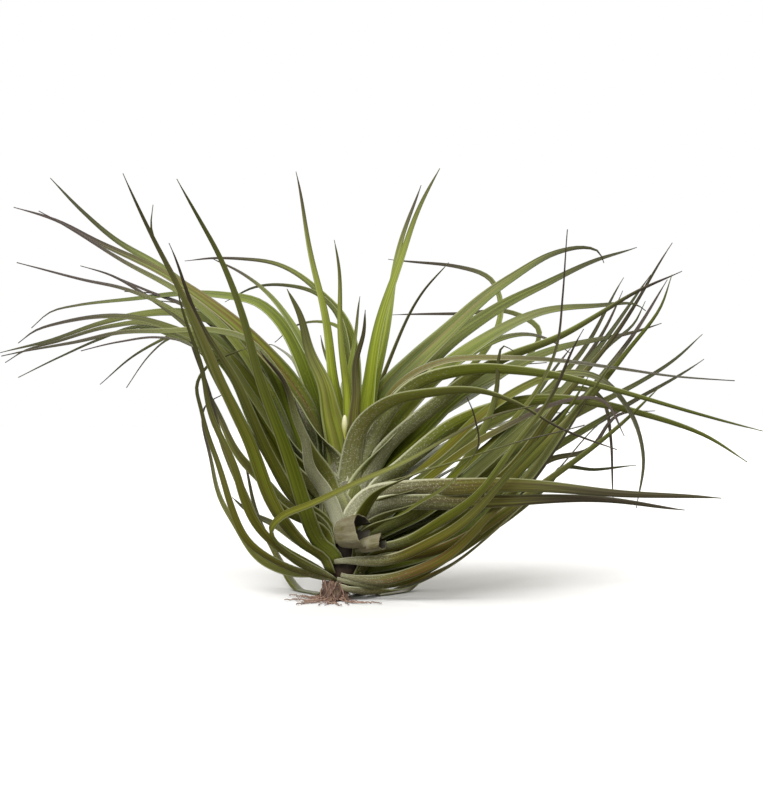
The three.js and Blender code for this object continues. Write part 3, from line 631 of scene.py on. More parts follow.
def traced_points(depth, pairs):
    """A midline's points, which turn to the leaf's depth as it runs out."""
    flat = [Vector((x, z)) for x, z in zip(pairs[::2], pairs[1::2])]
    runs = runs_along(flat)
    side = STEM_RADIUS * depth / math.hypot(depth, runs[-1])
    return [
        at_depth(p.x, p.y, between((side, depth), run / runs[-1])) for p, run in zip(flat, runs)
    ]


def facing_of(point):
    return math.atan2(point.y - BULB_SET_BACK, point.x)


def turn_between(start, end, share):
    gap = (end - start + math.pi) % (2 * math.pi) - math.pi
    return start + gap * share


def sheathed_spine(points, kind, facing=None, foot=None):
    """A spine that starts where the leaf's sheath clasps the bulb, and the sheath's facing."""
    clear = next(
        i for i, p in enumerate(points)
        if math.hypot(p.x, p.y - BULB_SET_BACK) > bulb_radius(p.z) * kind.hold + CLEAR_OF_BULB
    )
    leaving = points[clear]
    way_out = facing_of(leaving)
    if facing is None:
        facing = turn_between(way_out, math.copysign(math.pi / 2, points[-1].y), FACING_TURN)
    if foot is None:
        top = min(leaving.z - SHEATH_DROP, SHEATH_TOP)
        foot = max(top - kind.clasp, FOOT_FLOOR)
        middle = max((top + foot) / 2, MIDDLE_FLOOR)
    else:
        middle = (foot + leaving.z) / 2
    spine = [
        on_bulb(facing, foot, kind.hold, FOOT_SUNK),
        on_bulb(turn_between(facing, way_out, MIDDLE_TURN), middle, kind.hold, MIDDLE_LIFT),
        *points[clear:],
    ]
    return spine, facing


def blade_frames(line, leaf):
    """Each station's place, upper face and sideways direction, and the leaf's whole length."""
    along = directions_along(line)
    last = len(line) - 1
    whole = runs_along(line)[-1]
    segments = clamp(round(whole / SEGMENT_LENGTH), *SEGMENT_RANGE)
    third = line[round(last * (segments // 3) / segments)]
    inward = Vector((-math.cos(leaf.facing), -math.sin(leaf.facing), CLASP_LEAN))
    if leaf.kind is HEART:
        outward = Vector((-inward.x, -inward.y, 0))
    else:
        outward = Vector((third.x, third.y, 0)).normalized()
    to_viewer = math.radians(math.copysign(leaf.twist, leaf.twist * (line[-1].x - line[0].x)))
    up = square_to(Vector((0, 0, UP_LEAN)) - outward, along[0])
    frames = []
    for i, place in enumerate(line):
        if i > 0:
            up.rotate(along[i - 1].rotation_difference(along[i]))
            up = square_to(up, along[i])
        share = i / last
        normal = Quaternion(along[i], to_viewer * min(1, share * TWIST_RATE)) @ up
        clasp = 1 - ease(whole * share / SHEATH_TURN)
        normal = square_to(normal.lerp(square_to(inward, along[i]), clasp), along[i])
        frames.append((place, normal, along[i].cross(normal)))
    return frames, whole


def half_width(leaf, share, run, tip_width):
    """Half the width of a blade that narrows to a thread, which ends in a point."""
    thread = tip_width + leaf.width * THREAD_SHARE
    blade = (leaf.width - thread) * (1 - share ** leaf.kind.fullness) ** leaf.kind.taper
    flare = leaf.width * (leaf.kind.sheath - 1) * (1 - ease(run / leaf.kind.sheath_run))
    rooted = between((leaf.kind.root, 1), ease(run / ROOT_RUN))
    pointed = thread * (1 - share ** THREAD_POINT)
    return max(POINT_WIDTH, (pointed + blade + flare) * rooted) / 2


def channel_angle(leaf, share, run, half):
    """Half angle of the blade's arc: as round as the bulb at the sheath, then the channel's."""
    blade = math.radians(TIP_CHANNEL + leaf.kind.channel * (1 - share) ** CHANNEL_FADE)
    wrap = math.asin(min(half / SHEATH_ROUND, WRAP_MOST))
    return between((wrap, blade), ease(run / ROUND_RUN))


def add_leaf(bm, layers, leaf, settings, draw):
    """Adds one leaf: a grid laid along its spine and bent across into a channel."""
    count = settings.steps_along
    line = evenly_spaced(smooth_line(leaf.spine), count)
    sway = settings.sway / MM
    tip_width = settings.tip_width / MM
    waves, phase = draw.uniform(*WAVES), draw.uniform(0, 2 * math.pi)
    frames, whole = blade_frames(line, leaf)
    grid = bmesh.ops.create_grid(
        bm, x_segments=settings.steps_across, y_segments=count, size=1, calc_uvs=True)
    for vert in grid["verts"]:
        across, share = vert.co.x, (vert.co.y + 1) / 2
        place, normal, side = frames[round(share * count)]
        run = whole * share
        half = half_width(leaf, share, run, tip_width)
        angle = channel_angle(leaf, share, run, half)
        out = half * math.sin(angle * across) / math.sin(angle)
        above = half * (1 - math.cos(angle * across)) / math.sin(angle)
        shift = sway * ease(run / SHEATH_TURN) * math.sin(waves * 2 * math.pi * share + phase)
        point = place + side * (out + shift) + normal * above
        point.z = max(point.z, FLOOR_CLEARANCE)
        vert.co = point * MM
        vert[layers.tint] = leaf.tint
        vert[layers.silver] = clamp(1 - run / leaf.kind.silver_run, 0, 1)
        thinned = 1 - (1 - settings.margin_share) * across ** 2
        vert[layers.thick][0] = thinned * (1 - TIP_THINNING * share)


def leaf_mesh():
    """An empty mesh with the layers that the leaves' materials read."""
    bm = bmesh.new()
    layers = Layers(
        tint=bm.verts.layers.float_color.new("leaf_tint"),
        silver=bm.verts.layers.float.new("silver"),
        thick=bm.verts.layers.deform.verify(),
    )
    bm.loops.layers.uv.new("blade")
    return bm, layers


def piece_from(bm, name, materials):
    """A smooth-shaded object at the origin."""
    for face in bm.faces:
        face.smooth = True
    mesh = bpy.data.meshes.new(name)
    bm.to_mesh(mesh)
    bm.free()
    for material in materials:
        mesh.materials.append(material)
    piece = bpy.data.objects.new(name, mesh)
    bpy.context.scene.collection.objects.link(piece)
    return piece


def place_piece(piece, slot, *nodes):
    """Says what a piece rides on and which nodes it replaces. The slot is not used."""
    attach(piece, "root")
    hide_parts(*nodes)


def add_wall(piece, name, thickness, group=""):
    """Gives a sheet its thickness, with the second material on its far face."""
    wall = piece.modifiers.new(name, "SOLIDIFY")
    wall.thickness = thickness
    wall.offset = 0
    wall.vertex_group = group
    wall.material_offset = 1


def leafy_piece(name, leaves, seed, materials, slot, *nodes):
    """One piece of leaves: upper faces in the first material, undersides in the second."""
    settings = bpy.context.scene.air_plant_leaves
    draw = random.Random(seed)
    bm, layers = leaf_mesh()
    for leaf in leaves:
        add_leaf(bm, layers, leaf, settings, draw)
    piece = piece_from(bm, name, materials)
    piece.vertex_groups.new(name="thick")
    add_wall(piece, "Blade thickness", settings.midrib_thickness, "thick")
    place_piece(piece, slot, *nodes)


def add_green_leaves(name, leaves, seed):
    leafy_piece(name, leaves, seed, blade_materials("Green leaf"), "green_leaf", "leafy_rosette")


def add_traced_leaves(name, more=()):
    """One piece of traced leaves, with others that belong to it."""
    traced = TRACED[name]
    add_green_leaves(name, [*traced_leaves(traced), *more], traced.sway_seed)


def traced_leaves(traced):
    """Leaves along their traced lines, with the looks that mark them or random ones."""
    draw = random.Random(traced.seed)
    kind, marks = traced.kind, traced.marks
    leaves = []
    for i, (width, depth, twist, pairs) in enumerate(traced.lines):
        facing = math.radians(marks.facing[i]) if i in marks.facing else None
        points = traced_points(depth, pairs)
        spine, facing = sheathed_spine(points, kind, facing, marks.foot.get(i))
        age = marks.age.get(i, traced.age)
        tint = (
            draw.random(),
            clamp(age + draw.uniform(-AGE_SPREAD, AGE_SPREAD), 0, 1),
            marks.dried.get(i, draw.random() ** DRIED_RARITY * MARK_MOST),
            marks.silvery.get(i, draw.random() ** SILVERY_RARITY * MARK_MOST),
        )
        twist += draw.uniform(-TWIST_SPREAD, TWIST_SPREAD)
        leaves.append(Leaf(width, spine, twist, kind, facing, tint))
    return leaves


def heart_leaves():
    draw = random.Random(HEART_SEED)
    leaves = []
    for i, (width, depth, twist, pairs) in enumerate(HEART_LEAVES):
        points = traced_points(depth, pairs)
        start = points[0]
        root = Vector((start.x * HEART_ROOT_SHARE, start.y * HEART_ROOT_SHARE, HEART_ROOT_LEVEL))
        tint = (draw.random(), HEART_DULL.get(i, 0), 0, 0)
        facing = math.radians(HEART_FACINGS[i])
        leaves.append(Leaf(width, [root, *points], twist, HEART, facing, tint))
    return leaves


def back_leaves():
    draw = draws_from(BACK_SEED)
    looks = random.Random(BACK_SEED)
    leaves = []
    for i in range(BACK_COUNT):
        azimuth = math.radians(between(BACK_DIRECTION, i * GOLDEN_SECTION % 1))
        aside = math.cos(azimuth)
        level = i / (BACK_COUNT - 1)
        root = between(BACK_ROOT, level)
        reach = between(BACK_REACH, next(draw))
        left_tip = between(BACK_LEFT_TIP, level) - BACK_LEFT_TIP_RISE * aside
        tip = left_tip if aside < 0 else between(BACK_RIGHT_TIP, level)
        points = []
        for share in BACK_SHARES:
            away = BACK_START + reach * share ** BACK_ARCH
            height = root + BACK_START + (tip - root) * math.sin(share * math.pi / 2)
            points.append(Vector((away * aside, away * math.sin(azimuth), height)))
        width = between(BACK_WIDTH, next(draw))
        twist = between(BACK_TWIST, next(draw))
        spine, facing = sheathed_spine(points, OUTER)
        tint = (
            looks.random(), looks.uniform(*BACK_AGE), looks.random() ** BACK_DRIED_RARITY,
            looks.random())
        leaves.append(Leaf(width, spine, twist, OUTER, facing, tint))
    return leaves


def resting_leaves():
    looks = random.Random(REST_SEED)
    leaves = []
    for direction in REST_DIRECTIONS:
        azimuth = math.radians(direction)
        spine = [
            Vector((away * math.cos(azimuth), away * math.sin(azimuth), height))
            for away, height in REST_ARC
        ]
        tint = (
            looks.random(), looks.uniform(*REST_AGE), looks.random() ** REST_DRIED_RARITY,
            looks.random())
        leaves.append(Leaf(REST_WIDTH, spine, 0, LOWER, azimuth, tint))
    return leaves


def clasping_sheaths():
    """Short sheaths in a spiral up the bulb, which leave out the hollow in its front."""
    draw = random.Random(SHEATH_SEED)
    leaves = []
    for i in range(SHEATH_COUNT):
        facing = i * 2 * math.pi * GOLDEN_SECTION
        low = between(SHEATH_LEVELS, i / (SHEATH_COUNT - 1))
        rise = draw.uniform(*SHEATH_RISE)
        if low < HOLLOW_TOP and math.sin(facing) < HOLLOW_FRONT:
            continue
        strays = [draw.uniform(-most, most) for most in SHEATH_STRAYS]
        lifts = [0, 0, SHEATH_LIFT, draw.uniform(*SHEATH_END_LIFT)]
        spine = [
            on_bulb(facing + stray, low + rise * share, hold, lift)
            for (share, hold), stray, lift in zip(SHEATH_LINE, [0, 0, *strays], lifts)
        ]
        tint = (draw.random(), draw.uniform(*SHEATH_AGE), 0, draw.uniform(*SHEATH_SILVERY))
        leaves.append(Leaf(draw.uniform(*SHEATH_WIDTH), spine, 0, SHEATH, facing, tint))
    return leaves


# ---- Materials -------------------------------------------------------------------------------

FLOAT, COLOUR = "NodeSocketFloat", "NodeSocketColor"

# A group's colour before a material sets it.
NEUTRAL = (0.5, 0.5, 0.5, 1)

# How far apart the patterns of two leaves are read at most.
PATTERN_SHIFT = 40

# What the stripes along a blade and the painted shade on its flanks do to its colour, and the
# colours of its silvery rim, of the bud's top and of the floor's unevenness. Off camera the floor
# is darker, so that it casts little light back up.
DARK_STRIPE = (0.62, 0.62, 0.60)
LIGHT_STRIPE = (1.45, 1.42, 1.85)
FLANK_SHADE = (0.35, 0.38, 0.30)
RIM_COLOUR = (0.56, 0.56, 0.40)
BUD_TOP_COLOUR = (0.75, 0.72, 0.50)
FLOOR_DUST_COLOUR = (0.8, 0.8, 0.8)
FLOOR_BOUNCE_COLOUR = (0.25, 0.24, 0.21)

# The skins of the leaves: four names of the colour settings, where the dark tip starts, how pale
# the margins and how silvery the foot, how many veins lie side by side, and how rough it is.
Skin = namedtuple("Skin", "body shade old foot tip_start margin silver veins roughness")
SKINS = {
    "Green leaf, upper face": Skin(
        "green", "deep_green", "old_leaf", "silver", 0.72, 0.38, 0.8, 14, 0.36),
    "Green leaf, underside": Skin(
        "under_green", "green", "old_leaf", "silver", 0.72, 0.38, 1.1, 18, 0.42),
    "Heart leaf, upper face": Skin(
        "heart_green", "green", "heart_dull", "heart_yellow", 0.62, 0.3, 0, 12, 0.4),
    "Heart leaf, underside": Skin(
        "heart_green", "under_green", "heart_dull", "heart_yellow", 0.62, 0.3, 0.1, 16, 0.45),
}


def set_inputs(tree, node, inputs):
    """Links or sets a node's inputs, with a colour given as its three parts."""
    for key, value in inputs.items():
        socket = node.inputs[key]
        if isinstance(value, bpy.types.NodeSocket):
            tree.links.new(value, socket)
        elif socket.type == "RGBA":
            socket.default_value = (*value, 1)
        else:
            socket.default_value = value


def put(tree, kind, inputs=None, **settings):
    """Adds a node, sets its properties, and sets or links its inputs."""
    node = tree.nodes.new(kind)
    for key, value in settings.items():
        setattr(node, key, value)
    set_inputs(tree, node, inputs or {})
    return node


def calc(tree, operation, a, b=0.0, clamped=False):
    inputs = {0: a, 1: b}
    return put(tree, "ShaderNodeMath", inputs, operation=operation, use_clamp=clamped).outputs[0]


def plus(tree, a, b):
    return calc(tree, "ADD", a, b)


def minus(tree, a, b, clamped=False):
    return calc(tree, "SUBTRACT", a, b, clamped)


def times(tree, a, b, clamped=False):
    return calc(tree, "MULTIPLY", a, b, clamped)


def mixed(tree, factor, a, b, blend="MIX"):
    """A mix of two colours."""
    node = put(tree, "ShaderNodeMix", {0: factor, 6: a, 7: b}, data_type="RGBA", blend_type=blend)
    return node.outputs[2]


def stepped(tree, value, low, high, start=0.0, end=1.0):
    """A smooth step of a value between two levels."""
    inputs = {"Value": value, "From Min": low, "From Max": high, "To Min": start, "To Max": end}
    node = put(tree, "ShaderNodeMapRange", inputs, interpolation_type="SMOOTHSTEP")
    return node.outputs["Result"]


def cloudy(tree, vector, scale, detail=2.0, roughness=0.5):
    inputs = {"Vector": vector, "Scale": scale, "Detail": detail, "Roughness": roughness}
    return put(tree, "ShaderNodeTexNoise", inputs).outputs["Fac"]


def object_place(tree):
    return put(tree, "ShaderNodeTexCoord").outputs["Object"]


def level_of(tree, place):
    return put(tree, "ShaderNodeSeparateXYZ", {0: place}).outputs[2]


def upright_fibres(tree, place, flattening, scale, detail, roughness=0.5):
    """Cloudy noise drawn out along the height."""
    inputs = {"Vector": place, "Scale": (1, 1, flattening)}
    drawn_out = put(tree, "ShaderNodeMapping", inputs).outputs[0]
    return cloudy(tree, drawn_out, scale, detail, roughness)


def seen_by_camera(tree):
    return put(tree, "ShaderNodeLightPath").outputs["Is Camera Ray"]


def blade_place(tree):
    """How far across and along its blade a point lies, from 0 to 1."""
    uv = put(tree, "ShaderNodeUVMap", uv_map="blade").outputs["UV"]
    return put(tree, "ShaderNodeSeparateXYZ", {0: uv}).outputs[:2]


def from_middle(tree, across):
    return calc(tree, "ABSOLUTE", minus(tree, across, 0.5))


def leaf_looks(tree):
    """How dark, how old and how dried the leaf is."""
    tint = put(tree, "ShaderNodeAttribute", attribute_name="leaf_tint").outputs["Color"]
    return put(tree, "ShaderNodeSeparateColor", {0: tint}).outputs[:3]


def blade_vector(tree, across_scale, along_scale):
    """Blade coordinates scaled across and along, with another place in the pattern per leaf."""
    across, along = blade_place(tree)
    tone = leaf_looks(tree)[0]
    return put(tree, "ShaderNodeCombineXYZ", {
        0: times(tree, across, across_scale),
        1: times(tree, along, along_scale),
        2: times(tree, tone, PATTERN_SHIFT),
    }).outputs[0]


def new_group(name, inputs, outputs):
    """A shader node group with its ends, for inputs with their values and outputs with types."""
    tree = bpy.data.node_groups.new(name, "ShaderNodeTree")
    for label, value in inputs.items():
        kind = COLOUR if isinstance(value, tuple) else FLOAT
        socket = tree.interface.new_socket(label, in_out="INPUT", socket_type=kind)
        socket.default_value = value
    for label, kind in outputs.items():
        tree.interface.new_socket(label, in_out="OUTPUT", socket_type=kind)
    return tree, tree.nodes.new("NodeGroupInput").outputs, tree.nodes.new("NodeGroupOutput")


def make_veins_group():
    """Lengthwise veins: a light value and a height that run along the blade."""
    tree, given, end = new_group(
        "Lengthwise veins", {"Lines": 14.0}, {"Light": FLOAT, "Height": FLOAT})
    fine = cloudy(tree, blade_vector(tree, given["Lines"], 1.6), 1.0, 2.0)
    broad = cloudy(tree, blade_vector(tree, 3.0, 1.2), 1.0, 1.0)
    light = plus(tree, times(tree, fine, 0.65), times(tree, broad, 0.35))
    set_inputs(tree, end, {
        "Light": stepped(tree, light, 0.3, 0.7), "Height": stepped(tree, fine, 0.3, 0.7)})
    return tree


def make_scales_group():
    """Silvery scales: fine specks in rows that crowd together towards the root."""
    tree, given, end = new_group(
        "Silvery scales", {"Cover": 0.5, "Rows": 15.0, "Length": 290.0},
        {"Mask": FLOAT, "Height": FLOAT})
    rows = blade_vector(tree, given["Rows"], given["Length"])
    cells = put(tree, "ShaderNodeTexVoronoi", {"Vector": rows, "Scale": 1.0})
    speck = stepped(tree, cells.outputs["Distance"], 0.58, 0.26)
    luck = put(tree, "ShaderNodeSeparateColor", {0: cells.outputs["Color"]}).outputs[0]
    patches = cloudy(tree, blade_vector(tree, 4.0, 26.0), 1.0, 3.0)
    uneven = times(tree, minus(tree, patches, 0.5), 1.2)
    cover = plus(tree, given["Cover"], times(tree, uneven, given["Cover"]))
    present = stepped(tree, minus(tree, cover, luck), -0.02, 0.2)
    mask = times(tree, speck, present, True)
    mask = times(tree, mask, stepped(tree, given["Cover"], 0.0, 0.7, 0.25, 1.0))
    film = stepped(tree, cover, 0.1, 1.1, 0.0, 0.36)
    set_inputs(tree, end, {"Mask": calc(tree, "MAXIMUM", mask, film), "Height": mask})
    return tree


def make_zones_group():
    """Colour of a blade along its length: green body, old and dried parts, dark thread tip."""
    colours = dict.fromkeys(("Body", "Shade", "Old", "Dried", "Tip", "Margin"), NEUTRAL)
    tree, given, end = new_group(
        "Blade colours", {**colours, "Tip start": 0.5, "Margin strength": 0.5},
        {"Colour": COLOUR})
    across, along = blade_place(tree)
    tone, age, dryness = leaf_looks(tree)
    patches = cloudy(tree, blade_vector(tree, 1.5, 5.0), 1.0, 3.0)
    shade = plus(tree, times(tree, tone, 0.55), stepped(tree, patches, 0.35, 0.75))
    body = mixed(tree, times(tree, shade, 0.6, True), given["Body"], given["Shade"])
    streaks = cloudy(tree, blade_vector(tree, 9.0, 2.5), 1.0, 3.0)
    aged = times(tree, age, stepped(tree, streaks, 0.3, 0.65, 0.35, 1.0), True)
    body = mixed(tree, aged, body, given["Old"])
    dry_here = times(tree, dryness, stepped(tree, streaks, 0.48, 0.62))
    body = mixed(tree, times(tree, dry_here, 0.8), body, given["Dried"])
    # The outer blade is paled towards the margin colour: partly its own greyer colour, partly
    # painted sheen.
    body = mixed(tree, stepped(tree, along, 0.3, 0.7, 0.0, 0.13), body, given["Margin"])
    wander = times(tree, minus(tree, streaks, 0.5), 0.35)
    reach = plus(tree, plus(tree, along, wander), times(tree, age, 0.27))
    dark = mixed(tree, times(tree, tone, 0.6), given["Tip"], given["Shade"])
    body = mixed(tree, stepped(tree, reach, given["Tip start"], 0.96), body, dark)
    # Pale margin: partly the leaf's own pale edge, partly a painted highlight along the edge.
    edge = stepped(tree, from_middle(tree, across), 0.38, 0.48)
    edge = times(tree, edge, given["Margin strength"])
    edge = times(tree, edge, stepped(tree, along, 0.95, 0.5))
    set_inputs(tree, end, {"Colour": mixed(tree, edge, body, given["Margin"])})
    return tree


GROUP_MAKERS = {
    "Lengthwise veins": make_veins_group,
    "Silvery scales": make_scales_group,
    "Blade colours": make_zones_group,
}


def use_group(tree, name, inputs):
    """Adds a node group, which is made when it is first used, and gives its outputs."""
    group = bpy.data.node_groups.get(name) or GROUP_MAKERS[name]()
    return put(tree, "ShaderNodeGroup", inputs, node_tree=group).outputs


def new_material(name):
    material = bpy.data.materials.new(name)
    material.use_nodes = True
    return material, material.node_tree, bpy.context.scene.air_plant_colours


def dress(material, colour, roughness, height=None, strength=0.0, depth=0.0, gloss=None):
    """Gives a material its colour and roughness, and a bump or a gloss where it has one."""
    tree = material.node_tree
    inputs = {"Base Color": colour, "Roughness": roughness}
    if height is not None:
        relief = {"Strength": strength, "Distance": depth, "Height": height}
        inputs["Normal"] = put(tree, "ShaderNodeBump", relief).outputs["Normal"]
    if gloss is not None:
        inputs["Specular IOR Level"] = gloss
    set_inputs(tree, tree.nodes["Principled BSDF"], inputs)
    return material


def blade_material(name):
    """Leaf skin: zones along the blade, veins, silvery scales near the root, pale margins."""
    skin = SKINS[name]
    material, tree, colours = new_material(name)
    body, shade, old, foot = [getattr(colours, key) for key in skin[:4]]
    zones = use_group(tree, "Blade colours", {
        "Body": body, "Shade": shade, "Old": old, "Dried": colours.dried, "Tip": colours.tip,
        "Margin": colours.margin, "Tip start": skin.tip_start, "Margin strength": skin.margin,
    })["Colour"]
    vein = use_group(tree, "Lengthwise veins", {"Lines": skin.veins})
    darker = mixed(tree, 1.0, zones, DARK_STRIPE, "MULTIPLY")
    lighter = mixed(tree, 1.0, zones, LIGHT_STRIPE, "MULTIPLY")
    colour = mixed(tree, vein["Light"], darker, lighter)
    near_root = put(tree, "ShaderNodeAttribute", attribute_name="silver").outputs["Fac"]
    silvery = put(tree, "ShaderNodeAttribute", attribute_name="leaf_tint").outputs["Alpha"]
    cover = times(tree, calc(tree, "POWER", near_root, 1.2), skin.silver)
    cover = times(tree, cover, plus(tree, silvery, 0.12))
    scales = use_group(tree, "Silvery scales", {"Cover": cover})
    paled = times(tree, calc(tree, "POWER", near_root, 3.0), times(tree, silvery, 0.4))
    colour = mixed(tree, paled, colour, foot)
    colour = mixed(tree, scales["Mask"], colour, colours.silver)
    aside = from_middle(tree, blade_place(tree)[0])
    rim = times(tree, stepped(tree, aside, 0.39, 0.48, 0.0, 0.75), cover, True)
    colour = mixed(tree, rim, colour, RIM_COLOUR)
    # Painted shade: the flanks of the blade near its root are darkened.
    flank = times(tree, stepped(tree, aside, 0.20, 0.42, 0.0, 0.30), near_root)
    shaded = mixed(tree, 1.0, colour, FLANK_SHADE, "MULTIPLY")
    colour = mixed(tree, minus(tree, flank, rim, True), colour, shaded)
    rough = stepped(tree, scales["Mask"], 0.0, 1.0, skin.roughness, 0.8)
    height = plus(tree, times(tree, vein["Height"], 0.7), times(tree, scales["Height"], 0.5))
    return dress(material, colour, rough, height, strength=0.45, depth=0.0002, gloss=0.15)


def blade_materials(kind):
    """The skins of a kind's upper faces and undersides, each made once."""
    names = (f"{kind}, upper face", f"{kind}, underside")
    return [bpy.data.materials.get(name) or blade_material(name) for name in names]


def scale_material(name, brightness):
    """Torn papery base: tan grey, with fine lengthwise fibres and darker blotches."""
    material, tree, colours = new_material(name)
    fibre = use_group(tree, "Lengthwise veins", {"Lines": 16.0})
    specks = use_group(tree, "Silvery scales", {"Cover": 0.3})
    blotch = stepped(tree, cloudy(tree, object_place(tree), 420.0, 3.0), 0.42, 0.7)
    colour = mixed(tree, blotch, colours.paper, colours.old_leaf)
    colour = mixed(tree, times(tree, fibre["Light"], 0.3), colour, colours.silver)
    colour = mixed(tree, times(tree, specks["Mask"], 0.5), colour, colours.silver)
    # A brightness below 1 darkens the colour towards near black: painted shade, used for the
    # inside.
    colour = mixed(tree, brightness, colours.dark_brown_and_shade, colour)
    rough = stepped(tree, blotch, 0.0, 1.0, 0.85, 0.6)
    return dress(material, colour, rough, fibre["Height"], strength=0.6, depth=0.0003)


def sheath_core_material():
    """Wrapped sheaths in the foot: dead, near black as painted shade below; grey green above."""
    material, tree, colours = new_material("Sheath core")
    place = object_place(tree)
    level = level_of(tree, place)
    fibres = upright_fibres(tree, place, 0.12, 1600.0, 3.0)
    wander = times(tree, minus(tree, fibres, 0.5), 0.012)
    green = stepped(tree, plus(tree, level, wander), 0.020, 0.034)
    lively = mixed(tree, fibres, colours.under_green, colours.silver)
    dead_and_shaded = mixed(tree, fibres, colours.dark_brown_and_shade, colours.bark)
    # Mostly near black: painted shade of the hollow in the front of the foot.
    dead_and_shaded = mixed(tree, 0.8, dead_and_shaded, colours.dark_brown_and_shade)
    rooty = times(tree, fibres, stepped(tree, level, 0.011, 0.007))
    dead_and_shaded = mixed(tree, rooty, dead_and_shaded, colours.bark)
    colour = mixed(tree, green, dead_and_shaded, lively)
    rough = stepped(tree, fibres, 0.2, 0.8, 0.9, 0.65)
    return dress(material, colour, rough, fibres, strength=0.7, depth=0.0004)


def bark_material():
    """Fibrous stub: tan pink fibres over darker brown."""
    material, tree, colours = new_material("Stub bark")
    place = object_place(tree)
    fibres = upright_fibres(tree, place, 0.3, 1900.0, 4.0, 0.65)
    clumps = cloudy(tree, place, 500.0, 2.0)
    dark = mixed(tree, 0.7, colours.bark, colours.dark_brown_and_shade)
    colour = mixed(tree, stepped(tree, fibres, 0.35, 0.65), dark, colours.bark)
    colour = mixed(tree, stepped(tree, clumps, 0.5, 0.75, 0.0, 0.6), colour, colours.paper)
    rough = stepped(tree, fibres, 0.3, 0.7, 0.95, 0.7)
    return dress(material, colour, rough, fibres, strength=0.9, depth=0.0004)


def root_material():
    """Wiry root: pinkish tan with darker joints."""
    material, tree, colours = new_material("Wiry root")
    joints = cloudy(tree, object_place(tree), 700.0, 2.0)
    colour = mixed(tree, stepped(tree, joints, 0.4, 0.7), colours.root, colours.bark)
    rough = stepped(tree, joints, 0.3, 0.7, 0.55, 0.8)
    return dress(material, colour, rough, joints, strength=0.5, depth=0.0001)


def bud_material():
    """Pale young bud at the foot of the heart."""
    material, tree, colours = new_material("Pale bud")
    place = object_place(tree)
    mottle = cloudy(tree, place, 1500.0, 2.0)
    top = BUD_LEVEL + BUD_HEIGHT
    fade = stepped(tree, level_of(tree, place), BUD_LEVEL * MM, top * MM)
    colour = mixed(tree, fade, colours.heart_yellow, BUD_TOP_COLOUR)
    colour = mixed(tree, times(tree, mottle, 0.3), colour, colours.heart_green)
    return dress(material, colour, stepped(tree, mottle, 0.3, 0.7, 0.5, 0.7))


def floor_material():
    """Matt white floor with the faintest unevenness, which casts little light back up."""
    material, tree, colours = new_material("Pale floor")
    dust = cloudy(tree, object_place(tree), 60.0, 2.0)
    unevenness = stepped(tree, dust, 0.3, 0.7, 0.0, 0.02)
    pale = mixed(tree, unevenness, colours.floor, FLOOR_DUST_COLOUR)
    colour = mixed(tree, seen_by_camera(tree), FLOOR_BOUNCE_COLOUR, pale)
    return dress(material, colour, 0.9, gloss=0.1)


# ---- Stem, bud, scales, stub and roots -------------------------------------------------------


def turned(profile, sides):
    """A solid turned about Z, from the radius and height of each point of its outline."""
    bm = bmesh.new()
    rim = [bm.verts.new((r * MM, 0, z * MM)) for r, z in profile]
    edges = [bm.edges.new(pair) for pair in zip(rim, rim[1:])]
    bmesh.ops.spin(
        bm, geom=[*rim, *edges], axis=(0, 0, 1), cent=(0, 0, 0), angle=2 * math.pi,
        steps=sides, use_merge=True)
    bmesh.ops.remove_doubles(bm, verts=bm.verts, dist=POLE_GAP)
    bmesh.ops.recalc_face_normals(bm, faces=bm.faces)
    return bm


def stem_core():
    profile = [(r * CORE_SHARE, z) for r, z in BULB[:-1]]
    bm = turned([(0, BULB[0][1]), *profile, (0, BULB[-1][1] - CORE_SHORT)], CORE_SIDES)
    bmesh.ops.translate(bm, verts=bm.verts, vec=(0, BULB_SET_BACK * MM, 0))
    return bm


def heart_bud():
    """A ball narrowed towards its foot and drawn out upwards."""
    bm = bmesh.new()
    around, along = BUD_STEPS
    bmesh.ops.create_uvsphere(bm, u_segments=around, v_segments=along, radius=1)
    for vert in bm.verts:
        slim = between((BUD_FOOT, 1), ease((vert.co.z + 1) / 2 / BUD_SHOULDER))
        vert.co.x *= slim
        vert.co.y *= slim
    half = BUD_HEIGHT / 2
    size = Vector((BUD_RADIUS, BUD_RADIUS, half))
    middle = Vector((BUD_X, BUD_Y, BUD_LEVEL + half))
    bmesh.ops.scale(bm, verts=bm.verts, vec=size * MM)
    bmesh.ops.translate(bm, verts=bm.verts, vec=middle * MM)
    return bm


def add_torn_cup(bm, layers, foot, mouth, radius, draw):
    """A sheet curled into a cup, narrow at its foot and torn at its mouth."""
    around_steps, count = SCALE_STEPS
    foot, mouth = Vector(foot), Vector(mouth)
    axis = (mouth - foot).normalized()
    outward = square_to(Vector(SCALE_FACING), axis)
    side = axis.cross(outward)
    grid = bmesh.ops.create_grid(
        bm, x_segments=around_steps, y_segments=count, size=1, calc_uvs=True)
    tone = draw.random()
    phase = tone * SCALE_PHASES
    tears = []
    for i in range(around_steps + 1):
        wave = 0.5 + 0.5 * math.sin(TEAR_WAVES * i / around_steps + phase)
        tears.append(wave * (1 - TEAR_RAGGED) + draw.uniform(0, TEAR_RAGGED))
    few, many = CRUMPLE_WAVES
    for vert in grid["verts"]:
        column = round((vert.co.x + 1) / 2 * around_steps)
        share = (vert.co.y + 1) / 2 * (1 - SCALE_TEAR * tears[column])
        turn = math.radians(SCALE_CURL) * vert.co.x
        swell = between((SCALE_FOOT, 1), math.sqrt(1 - (1 - share) ** 2))
        ripple = SCALE_CRUMPLE * share * (math.sin(few * turn + phase) + math.sin(many * turn) / 2)
        reach = radius * swell + ripple
        place = foot.lerp(mouth, share)
        vert.co = (place + outward * reach * math.cos(turn) + side * reach * math.sin(turn)) * MM
        vert[layers.tint] = (tone, 0, 0, 1)


